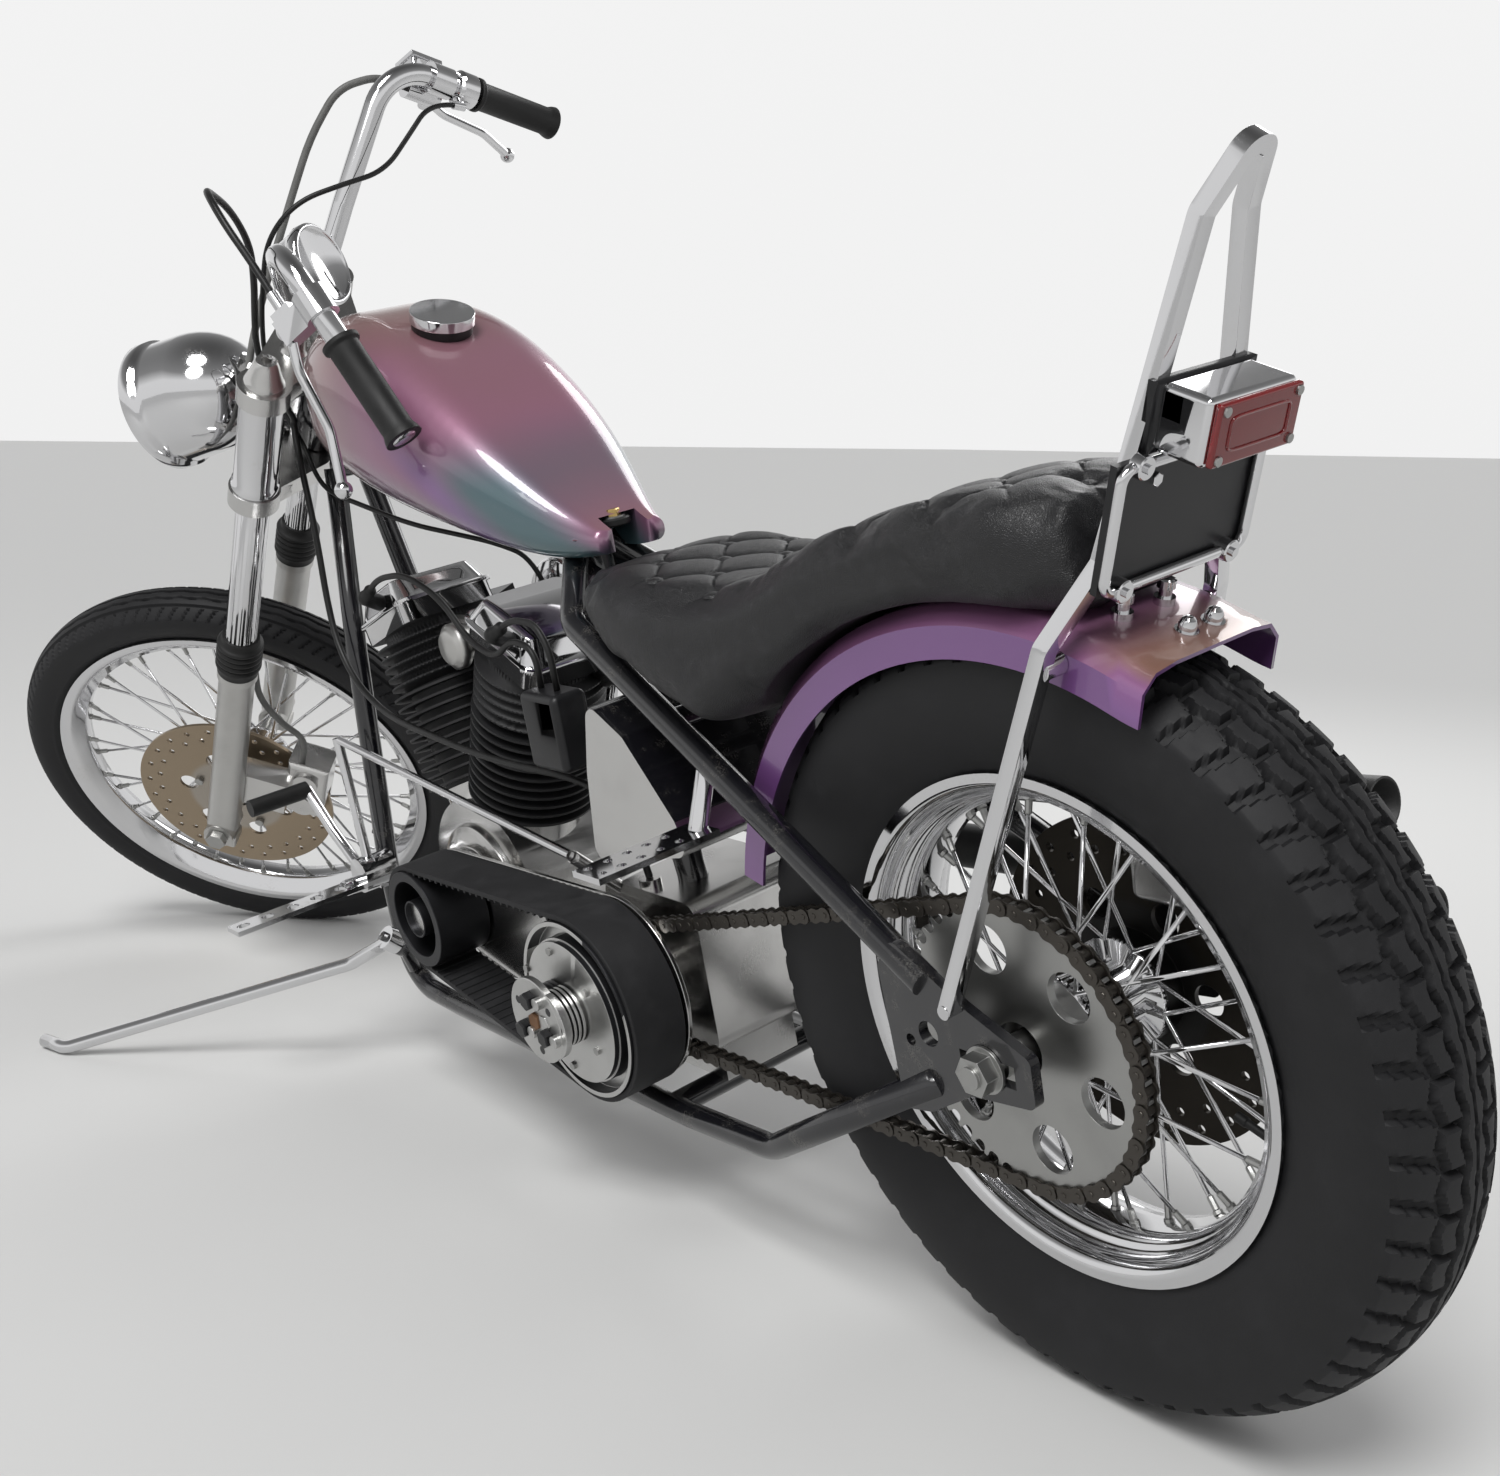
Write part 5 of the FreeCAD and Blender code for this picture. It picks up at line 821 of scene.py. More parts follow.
class Build:
    """Makes the scene's objects and remembers the frame."""

    def __init__(self, frame: dict[str, Any]) -> None:
        """Keeps the frame."""
        self.frame = frame

    def piece(self, name: str, shape: Union[Shape, Any], finish: Finish, body: str, smooth: float = 35.0,
              merge: float = 1e-5) -> Any:
        """Adds a piece that rides on a body.

        Args:
            name: the object's name.
            shape: its shape, or a finished mesh.
            finish: its finish.
            body: the CAD body that it moves with; empty for a piece that rides on no body.
            smooth: edges sharper than this many degrees stay sharp.
            merge: points closer than this are merged, in metres.
        Returns:
            The object.
        """
        if isinstance(shape, Shape):
            mesh = bpy.data.meshes.new(name)
            mesh.from_pydata(shape.points.tolist(), [], shape.faces)
        else:
            mesh = shape
            mesh.name = name
        cleaned(mesh, merge, outward=True)
        return self.finish(name, mesh, finish, body, smooth)

    def finish(self, name: str, mesh: Any, finish: Finish, body: str, smooth: float, bevel: float = 0.0) -> Any:
        """Shades a mesh and makes it an object with its finish, on its body.

        Args:
            name, mesh, finish, body, smooth: as in piece.
            bevel: width of its eased edges, in metres.
        Returns:
            The object.
        """
        mesh.materials.clear()
        mesh.materials.append(finish.material())
        mesh.shade_smooth()
        mesh.set_sharp_from_angle(angle=math.radians(smooth))
        piece = stand(name, mesh)
        if bevel:
            ease = piece.modifiers.new("ease", "BEVEL")
            ease.width = bevel
            ease.segments = 2
            ease.limit_method = "ANGLE"
            ease.angle_limit = EASED
            ease.harden_normals = False
        if body:
            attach(piece, body)
        LOG.info("piece %s on %s: %d faces", name, body, len(mesh.polygons))
        return piece

    def dress(self, node: str, finish: Finish, bevel: float = 0.0, smooth: float = 32.0) -> Any:
        """Shows a CAD node as a merged and smoothly shaded copy of itself.

        Args:
            node: the node's name.
            finish: its finish.
            bevel: width of its eased edges, in metres.
            smooth: edges sharper than this many degrees stay sharp.
        Returns:
            The object.
        """
        source = self.frame["nodes"][node]
        mesh = source.data.copy()
        cleaned(mesh, NODE_MERGE, flat=FLAT if bevel else 0.0)
        piece = self.finish(node + "_skin", mesh, finish, source["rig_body"], smooth, bevel)
        self.patch(mesh, PATCHES.get(node, ()))
        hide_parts(node)
        return piece

    def patch(self, mesh: Any, patches: Sequence[Patch]) -> None:
        """Gives the faces that each patch covers its finish.

        Args:
            mesh: the mesh, which has its first finish.
            patches: the patches; a later one wins.
        """
        centres, normals = read(mesh.polygons, "center"), read(mesh.polygons, "normal")
        index = np.zeros(len(centres), np.int32)
        for number, patch in enumerate(patches, 1):
            mesh.materials.append(patch.finish.material())
            index[patch.covers(centres, normals)] = number
        mesh.polygons.foreach_set("material_index", index)

    def repeat(self, name: str, shape: Shape, spots: Spots, finish: Finish, axes: Axes = BIKE,
               body: str = "frame") -> Any:
        """Adds copies of a shape as one piece.

        Args:
            name: the object's name.
            shape: the shape, made up along z.
            spots: (point, axis) for each copy, in the axes.
            finish: its finish.
            axes: the axes of the spots.
            body: the body that they move with.
        Returns:
            The object.
        """
        return self.piece(name, shape.repeated(placements(spots)).placed(axes), finish, body, smooth=25.0)


# Wheels
class Tread(Enum):
    """The two tyres' patterns, each with the depth of its grooves."""

    RIBBED = 4.0
    BLOCKS = 7.0


def band(place: Array, half: float) -> Array:
    """1 within a half width of 0 and 0 beyond it, with an edge 0.9 wide."""
    return np.clip((half - np.abs(place)) / 0.9 + 0.5, 0.0, 1.0)


@dataclass
class Tyre:
    """A tyre: its size in millimetres, and its tread."""

    node: str
    body: str
    axes: Axes
    radius: float
    width: float
    crown: float
    rim_radius: float
    rim_width: float
    tread: Tread
    steps: int = 720
    waves: int = 60
    cuts: int = 108

    def outline(self) -> tuple[Array, Array]:
        """The section: the tread is an arc of the crown radius, each wall a curve of degree 2 from it to the bead.

        Returns:
            Points (y, radius) from one bead over the tread to the other, and 1 for those on the tread.
        """
        edge = 0.47 * self.width
        y = np.linspace(-edge, edge, 92)
        crown = self.radius - self.crown + np.sqrt(self.crown ** 2 - y ** 2)
        t = np.linspace(0.0, 1.0, 22)[1:]
        lip = np.array([self.rim_width / 2 - 5.0, self.rim_radius + 1.0])
        top = np.array([edge, crown[-1]])
        bulge = np.array([self.width * 0.56, (top[1] + lip[1]) / 2 + 3.0])
        wall = (1 - t)[:, None] ** 2 * top + (2 * t * (1 - t))[:, None] * bulge + t[:, None] ** 2 * lip
        left = np.column_stack([-wall[::-1, 0], wall[::-1, 1]])
        section = np.concatenate([left, np.column_stack([y, crown]), wall])
        share = np.concatenate([np.zeros(len(wall)), np.ones(len(y)), np.zeros(len(wall))])
        return section, share

    def grooves(self, angle: Array, y: Array) -> Array:
        """Depth of the pattern: bands that follow a zigzag, and cross cuts between them.

        Args:
            angle: the place round the tyre, in radians.
            y: the place across it.
        Returns:
            The depth at each place.
        """
        away, turn = np.abs(y), angle * self.waves / (2 * np.pi)
        wave = np.abs((turn % 1.0) - 0.5) * 4 - 1
        if self.tread is Tread.RIBBED:
            cut = band(y - 7 - 1.2 * wave, 2.2) + band(y + 7 - 1.2 * wave, 2.2) + band(away - 19, 2.0)
            pitch = 2 * np.pi * self.radius / self.cuts
            cross = ((angle * self.cuts / (2 * np.pi) + away / 26) % 1.0 - 0.5) * pitch
            cut = cut + band(cross, 1.6) * (away > 22)
        else:
            pitch = 2 * np.pi * self.radius / self.waves
            outer = ((turn + 0.25) % 1.0 - 0.5) * pitch
            inner = ((turn + 0.75 + np.sign(y) * 0.12) % 1.0 - 0.5) * pitch
            cut = band(away - 12 - 2.6 * wave * np.sign(y), 2.8) + band(away - 32 - 2.6 * wave, 3.2)
            cut = cut + band(outer + (away - 40) * 0.35, 4.6) * (away > 33)
            cut = cut + band(away - 0.8 * wave, 1.2) + band(inner, 2.2) * (away > 15) * (away < 31)
        return self.tread.value * np.clip(cut, 0, 1)

    def shape(self) -> Shape:
        """The outline turned about the axle, pressed in by the grooves, with raised rings on the walls.

        Returns:
            The closed shape, in the wheel's axes.
        """
        section, share = self.outline()
        angle = np.arange(self.steps)[:, None] * 2 * np.pi / self.steps
        y = section[None, :, 0] + np.zeros((self.steps, 1))
        radius = section[None, :, 1] - self.grooves(angle, y) * share[None]
        wall = (1 - share) * np.exp(-((section[:, 1] - self.rim_radius - 9) / 1.6) ** 2)
        y = y + np.sign(y) * wall[None] * 1.2
        tube = np.stack([radius * np.cos(angle), y, radius * np.sin(angle)], -1)
        bed = self.rim_radius - 9.0 + np.zeros(2)
        bed_y = np.array([self.rim_width / 2 - 8.0, -self.rim_width / 2 + 8.0])
        inside = np.stack([bed * np.cos(angle), bed_y + 0 * angle, bed * np.sin(angle)], -1)
        return grid(np.concatenate([tube, inside], 1), wrap_u=True, wrap_v=True)

    def make(self, build: Build) -> None:
        """Adds the tyre in place of its plain node."""
        piece = build.piece(self.node + "_tread", self.shape().placed(self.axes), TYRE, self.body, smooth=38.0)
        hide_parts(self.node)


@dataclass
class Wheel:
    """A wire wheel: rim, hub with spokes, disc, nipples and valve."""

    name: str
    tyre: Tyre
    disc: Finish
    disc_y: float
    hub_half: float
    spokes: int = 40
    lean: float = 31.0
    seat_depth: float = 32.3
    seat_y: float = 5.0
    flange: float = 43.0
    disc_bolts: float = 58.0
    valve: float = 200.0

    def spoke_lines(self) -> tuple[Array, Array]:
        """The spokes by the CAD hub's own rule: every second one leans the other way.

        Returns:
            Outer end and inner end of each spoke.
        """
        per_side = self.spokes // 2
        i = np.arange(per_side)
        lean = np.radians(np.where(i % 2 == 1, self.lean, -self.lean))
        ends, roots = [], []
        for side in (1, -1):
            base = np.radians(360.0 * i / per_side + (9 if side > 0 else 0))
            for found, radius, angle, y in ((ends, self.tyre.rim_radius - self.seat_depth, base, self.seat_y),
                                            (roots, self.flange, base + lean, self.hub_half - 6)):
                flat = polar(radius, angle[:, None])
                found.append(np.column_stack([flat[:, 0], np.full(per_side, side * y), flat[:, 1]]))
        return np.concatenate(ends), np.concatenate(roots)

    def make(self, build: Build) -> None:
        """Dresses the wheel's nodes and adds its nipples, disc bolts, hub cap and valve."""
        axes, body = self.tyre.axes, self.tyre.body
        self.tyre.make(build)
        build.dress(self.name + "_rim", CHROME, smooth=28.0)
        build.dress(self.name + "_hub", CHROME)
        build.dress(self.name + "_disc", self.disc, bevel=0.0004)
        ends, roots = self.spoke_lines()
        run = roots - ends
        run /= np.linalg.norm(run, axis=1)[:, None]
        nipple = turned([(0, 0.0), (0, 4.4), (3, 4.4), (4, 3.2), (15, 3.0), (16, 2.2), (16, 0.0)], 8)
        build.repeat(self.name + "_nipples", nipple, list(zip(ends - run, run)), STEEL, axes, body)
        side = math.copysign(1.0, self.disc_y)
        spots = [((self.disc_bolts * math.cos(a), self.disc_y + side * 2.5, self.disc_bolts * math.sin(a)),
                  (0, side, 0)) for a in np.radians(np.arange(5) * 72.0 + 12)]
        build.repeat(self.name + "_disc_bolts", head(12, 5.5), spots, STEEL, axes, body)
        cap = turned([(0, 0.0), (0, 27), (3, 27), (5, 23), (5, 14), (5, 0)], 40)
        build.repeat(self.name + "_hub_cap", cap, [((0, -side * (self.hub_half - 0.2), 0), (0, -side, 0))], CHROME,
                     axes, body)
        angle, reach = math.radians(self.valve), self.tyre.rim_radius - 30
        at = np.array([reach * math.cos(angle), 0.0, reach * math.sin(angle)])
        stem = turned([(0, 0.0), (0, 5.5), (4, 5.5), (5, 3.6), (28, 3.6), (29, 4.4), (38, 4.4), (40, 0)], 12, at, -at)
        build.piece(self.name + "_valve", stem.placed(axes), RUBBER, body)


# Seat
@dataclass
class Saddle:
    """The stepped seat, upholstered and tufted.

    Its stations are (x, half width, low, high), and its two seating faces (middle of the pattern, rear end, front end).
    """

    stations: tuple[tuple[float, float, float, float], ...] = (
        (562, 38, 661, 673), (530, 70, 659, 684), (500, 102, 647, 692), (440, 124, 616, 700),
        (370, 132, 590, 694), (300, 130, 566, 690), (240, 122, 606, 700), (150, 110, 664, 738),
        (50, 104, 688, 764), (-50, 98, 686, 777), (-104, 68, 680, 770))
    fender_radius: float = FENDER_RADIUS + 2.5
    tuft: float = 84.0
    tuft_depth: float = 5.5
    button_depth: float = 6.0
    faces: tuple[tuple[float, float, float], ...] = ((300.0, 232.0, 520.0), (20.0, -84.0, 178.0))
    step_x: float = 205.0
    voxel: float = 0.005
    most_swell: float = 0.010

    def hull(self, inset: float) -> Shape:
        """The seat's body: rounded oblongs through the stations.

        A smooth curve runs through the stations' sizes; each section is a superellipse of power 5.

        Args:
            inset: how far it is drawn in.
        Returns:
            The shape.
        """
        table = np.array(self.stations, float)[::-1]
        x = np.linspace(table[0, 0] + inset, table[-1, 0] - inset, 110)
        half, low, high = (np.interp(x, table[:, 0], table[:, k]) for k in (1, 2, 3))
        kernel = np.hanning(9) / np.hanning(9).sum()
        half, low, high = (np.convolve(np.pad(v, 4, "edge"), kernel, "valid") for v in (half, low, high))
        t = np.arange(72) * 2 * np.pi / 72
        y = (half - inset)[:, None] * squarish(np.cos(t), 2 / 5)
        z = ((high + low) / 2)[:, None] + ((high - low) / 2 - inset)[:, None] * squarish(np.sin(t), 2 / 5)
        points = np.stack([x[:, None] + 0 * y, y, z], -1)
        return self.off_fender(grid(points, wrap_v=True, caps=True))

    def off_fender(self, shape: Shape) -> Shape:
        """Points inside the fender's cylinder move out to it, straight away from the rear axle.

        Args:
            shape: a shape in the bike's axes.
        Returns:
            The shape, clear of the fender.
        """
        out = shape.points - np.array([0.0, 0.0, REAR_AXLE_UP])
        reach = np.hypot(out[:, 0], out[:, 2])
        push = np.maximum(reach, self.fender_radius) / np.maximum(reach, 1.0)
        points = shape.points.copy()
        points[:, 0] = out[:, 0] * push
        points[:, 2] = out[:, 2] * push + REAR_AXLE_UP
        return Shape(points, shape.faces)

    def pad(self) -> Any:
        """The swollen pad: remeshed, blown up as cloth, held to the most swell and divided once.

        Returns:
            Its mesh, in the frame.
        """
        mesh = bpy.data.meshes.new("pad")
        shape = self.hull(5.0).placed(BIKE)
        mesh.from_pydata(shape.points.tolist(), [], shape.faces)
        pad = stand("pad", mesh)
        bpy.context.view_layer.objects.active = pad
        pad.select_set(True)
        remesh = pad.modifiers.new("voxels", "REMESH")
        remesh.mode = "VOXEL"
        remesh.voxel_size = self.voxel
        bpy.ops.object.modifier_apply(modifier="voxels")
        before = read(pad.data.vertices, "co")
        cloth = pad.modifiers.new("cloth", "CLOTH")
        cloth.settings.use_pressure = True
        cloth.settings.uniform_pressure_force = 4.0
        cloth.settings.effector_weights.gravity = 0.0
        cloth.settings.mass = 0.3
        cloth.settings.quality = 5
        scene = bpy.context.scene
        for step in range(1, 21):
            scene.frame_set(step)
        bpy.ops.object.modifier_apply(modifier="cloth")
        scene.frame_set(1)
        move = read(pad.data.vertices, "co") - before
        length = np.linalg.norm(move, axis=1)[:, None]
        move *= np.minimum(1.0, self.most_swell / np.maximum(length, 1e-9))
        pad.data.vertices.foreach_set("co", (before + move).ravel())
        divide = pad.modifiers.new("divide", "SUBSURF")
        divide.levels = divide.render_levels = 1
        bpy.ops.object.modifier_apply(modifier="divide")
        result = pad.data.copy()
        bpy.data.objects.remove(pad)
        return result

    def tufted(self, mesh: Any) -> None:
        """Presses the pattern into the pad's top: diamonds that swell between creases, with a button at each crossing.

        With p and q the place along both diagonals, the depth is 1 - (|sin p| |sin q|) to the power 0.28.

        Args:
            mesh: the pad's mesh.
        """
        own = BIKE.back(read(mesh.vertices, "co"))
        facing = read(mesh.vertices, "normal") @ BIKE.matrix()[:, :3]
        p, q = self.diagonals(own)
        swell = (np.abs(np.sin(p)) * np.abs(np.sin(q))) ** 0.28
        button = np.exp(-((np.sin(p) ** 2 + np.sin(q) ** 2) / 0.16))
        drop = (self.tuft_depth * (1 - swell) + self.button_depth * button) * self.inside(own, facing)
        own = self.off_fender(Shape(own - facing * drop[:, None])).points
        mesh.vertices.foreach_set("co", BIKE.place(own).ravel())

    def diagonals(self, own: Array) -> tuple[Array, Array]:
        """Both diagonal places at points; a crease runs where one is a whole half turn.

        Args:
            own: the points, in the bike's axes.
        Returns:
            The two places, in radians.
        """
        front, back = (face[0] for face in self.faces)
        along = np.where(own[:, 0] > 215, own[:, 0] - front, own[:, 0] - back) / self.tuft
        across = own[:, 1] / (self.tuft * 0.95)
        return np.pi * (along + across), np.pi * (along - across)

    def half_width(self, x: Any) -> Any:
        """The stations' half width at places along the bike."""
        return np.interp(x, *np.array(self.stations, float)[::-1, :2].T)

    def inside(self, own: Array, facing: Array) -> Array:
        """1 on the two seating faces, 0 on the skirts and the step between them.

        Args:
            own: the points, in the bike's axes.
            facing: the surface's directions at them.
        Returns:
            The share at each point.
        """
        edge = np.clip((self.half_width(own[:, 0]) * 0.80 - np.abs(own[:, 1])) / 26.0, 0, 1)
        up = np.clip((facing[:, 2] - 0.35) / 0.3, 0, 1)
        ends = np.clip((own[:, 0] + 88) / 14, 0, 1) * np.clip((525 - own[:, 0]) / 14, 0, 1)
        step = np.clip(np.abs(own[:, 0] - self.step_x) / 16 - 0.6, 0, 1)
        return edge * up * ends * step

    def make(self, build: Build) -> None:
        """Adds the pad and its buttons."""
        mesh = self.pad()
        self.tufted(mesh)
        mesh.update()
        seat = build.piece("seat_pad", mesh, LEATHER, "frame", smooth=80.0, merge=1e-6)
        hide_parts("seat")
        self.buttons(build, mesh)

    def buttons(self, build: Build, mesh: Any) -> None:
        """A covered button in each crossing of the creases, seated on the pad below it.

        Args:
            build: the scene's builder.
            mesh: the pad's mesh.
        """
        own = BIKE.back(read(mesh.vertices, "co"))
        i, j = np.meshgrid(np.arange(-8, 9), np.arange(-8, 9))
        keep = (i + j) % 2 == 0
        spots = []
        for middle, low, high in self.faces:
            x = middle + i[keep] * self.tuft / 2
            y = j[keep] * self.tuft * 0.95 / 2
            for px, py in zip(x, y):
                if low < px < high and abs(py) < self.half_width(px) * 0.70:
                    near = (np.hypot(own[:, 0] - px, own[:, 1] - py) < 6.0) & (own[:, 2] > 670.0)
                    if near.any():
                        spots.append(((px, py, float(own[near, 2].max()) - 3.0), UP))
        stud = turned([(0, 0.0), (0, 8.4), (2.4, 9.0), (4.6, 7.4), (6.0, 4.0), (6.4, 0)], 20)
        build.repeat("seat_buttons", stud, spots, LEATHER)


# Drive
@dataclass
class Chain:
    """The roller chain round both sprockets, in the rear wheel's axes."""

    pitch: float = 15.875
    links: int = 106
    teeth: tuple[int, int] = (48, 23)
    drop: float = 77.0
    line_y: float = 76.0
    inner: float = 4.2
    plate: float = 1.4
    half_height: float = 7.2

    def radii(self) -> tuple[float, float]:
        """Pitch radius of the rear and the gearbox sprocket: pitch / (2 sin(pi / teeth))."""
        rear, front = (self.pitch / (2 * math.sin(math.pi / t)) for t in self.teeth)
        return rear, front

    def shares(self, centres: float) -> tuple[float, float, float, float]:
        """Where the loop's pitches lie.

        Args:
            centres: distance between the two shafts.
        Returns:
            Lean of the runs, and the pitches in the rear arc, in one run and in the front arc.
        """
        rear, front = self.radii()
        lean = math.asin((rear - front) / centres)
        run = math.sqrt(centres ** 2 - (rear - front) ** 2) / self.pitch
        return lean, (0.5 + lean / math.pi) * self.teeth[0], run, (0.5 - lean / math.pi) * self.teeth[1]

    def centres(self) -> float:
        """Finds by halving where the loop closes on a whole number of links.

        Returns:
            The distance between the two shafts.
        """
        low, high = 450.0, 700.0
        for _ in range(50):
            middle = (low + high) / 2
            _, back, run, front = self.shares(middle)
            low, high = (low, middle) if back + 2 * run + front > self.links else (middle, high)
        return (low + high) / 2

    def rollers(self) -> Array:
        """The loop: an arc on the rear sprocket, a straight run, an arc in front and a straight run back.

        Returns:
            The rollers' centres, as (x, z).
        """
        reach = self.centres()
        rear, small = self.radii()
        lean, back, run, front = self.shares(reach)
        ahead = np.array([math.sqrt(reach ** 2 - self.drop ** 2), -self.drop])
        along = math.atan2(ahead[1], ahead[0])
        top, bottom = along + math.pi / 2 - lean, along - math.pi / 2 + lean
        s = np.arange(self.links, dtype=float)[:, None]
        behind = polar(rear, top + s * 2 * np.pi / self.teeth[0])
        lower = polar(rear, [bottom]) + (s - back) * self.pitch * polar(1.0, [along + lean])
        before = ahead + polar(small, bottom + (s - back - run) * 2 * np.pi / self.teeth[1])
        upper = ahead + polar(small, [top]) - (s - back - run - front) * self.pitch * polar(1.0, [along - lean])
        return np.where(s < back, behind, np.where(s < back + run, lower,
                                                   np.where(s < back + run + front, before, upper)))

    def side_plate(self) -> Shape:
        """A link plate: round ends on both pins and a waist, half height h - 0.9 (1 - cos(2 pi x / pitch)).

        Returns:
            The shape, along x.
        """
        t = np.linspace(np.pi / 2, 3 * np.pi / 2, 7)
        x = np.linspace(0, self.pitch, 7)[1:-1]
        waist = self.half_height - 0.9 * (1 - np.cos(2 * np.pi * x / self.pitch))
        left = self.half_height * np.column_stack([np.cos(t), np.sin(t)])
        right = np.column_stack([self.pitch - left[:, 0], -left[:, 1]])
        loop = np.concatenate([left, np.column_stack([x, -waist]), right, np.column_stack([x, waist])[::-1]])
        sides = [np.column_stack([loop[:, 0], np.full(len(loop), y), loop[:, 1]]) for y in (0.0, self.plate)]
        return grid(np.array(sides), wrap_v=True, caps=True)

    def make(self, build: Build) -> None:
        """Adds plates, rollers and pins in place of the plain chain."""
        spots = self.rollers()
        run = np.roll(spots, -1, 0) - spots
        run /= np.linalg.norm(run, axis=1)[:, None]
        places = upright(run, np.column_stack([-run[:, 1], run[:, 0]]), spots, self.line_y)
        parts = []
        plate = self.side_plate()
        for outer in (0, 1):
            for side in (1, -1):
                shift = places[outer::2].copy()
                inner = self.inner + outer * (self.plate + 0.1)
                shift[:, 1, 3] += inner if side > 0 else -inner - self.plate
                parts.append(plate.repeated(shift))
        pin = turned([(-7.9, 0), (-7.9, 2.2), (-7.4, 2.6), (7.4, 2.6), (7.9, 2.2), (7.9, 0)], 8, axis=LEFT)
        roller = turned([(-4.1, 0), (-4.1, 5.1), (4.1, 5.1), (4.1, 0)], 12, axis=LEFT)
        parts += [pin.repeated(places), roller.repeated(places)]
        piece = build.piece("drive_chain_links", parts[0].join(*parts[1:]).placed(REAR_WHEEL), CHAIN_STEEL, "frame",
                            smooth=30.0, merge=1e-7)
        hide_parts("drive_chain")


# Cables
@dataclass
class Cable:
    """A control cable from the frame to the handlebar: its lower route in the bike's axes, its upper in the fork's."""

    name: str
    radius: float
    lower: tuple[Point, ...]
    upper: tuple[Point, ...]

    def make(self, build: Build, nodes: Sequence[str] = ()) -> None:
        """Adds the whole cable, which bends at the steering head, in place of its solids.

        Args:
            build: the scene's builder.
            nodes: the solids that it stands for.
        """
        low, high = BIKE.place(self.lower[::-1]), FORK.place(self.upper[::-1])
        mesh = route(np.concatenate([low, high]), self.radius)
        piece = build.piece(self.name, mesh, CABLE, "", smooth=60.0)
        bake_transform(piece)
        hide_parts(*nodes)


HANDLE = Axes(((-0.7586, 0.381, 0.527, -114.0), (0.5536, 0.806, 0.217, 278.6), (-0.3445, 0.456, -0.823, 1023.3)))


def on_bar(point: Point, mirror: float = 1.0) -> Point:
    """A point on the bar.

    Args:
        point: the point, in the left grip's axes.
        mirror: -1 for the right grip.
    Returns:
        The point in the fork's axes.
    """
    rows = HANDLE.matrix()
    x, y, z = rows[:, :3] @ np.array(point) + rows[:, 3]
    return float(x), float(y * mirror), float(z)


CLUTCH_CABLE = Cable("clutch_cable", 4.0, (
    (1158, 43.5, 843.7), (1140, 54, 800), (1128, 60, 742), (1120, 66, 690), (1116, 72, 632), (1098, 80, 580),
    (1056, 86, 536), (992, 91, 510), (934, 94, 500), (872, 94, 494), (812, 92, 486), (752, 88, 480), (694, 80, 474),
    (640, 68, 470), (592, 54, 456), (562, 42, 414), (556, 38, 359.6)), (
    on_bar((-86.3, 0, 34)), (0, 216, 1040), (36, 192, 1056), (68, 156, 1062), (80, 112, 1034), (66, 76, 996),
    (46, 62, 950), (40, 56, 900), (38, 50, 850), (34, 46, 800), (14, 42, 752), (-17.5, 39, 712)))
THROTTLE_CABLE = Cable("throttle_cable", 3.0, (
    (1176, 43.5, 858.7), (1156, 37, 818), (1128, 43, 780), (1100, 43, 760), (1056, 30, 744), (980, 8, 716),
    (936, -24, 698), (904, -58, 680), (874, -86, 656), (868, -93, 612.5)), (
    on_bar((-34.3, -25.6, 1.6), -1.0), (-74, -212, 1030), (-66, -160, 1012), (-56, -100, 992), (-20, -56, 986),
    (22, -20, 968), (44, 6, 925), (42, 14, 870), (38, 18, 820), (30, 20, 770), (-1, 22.5, 712)))


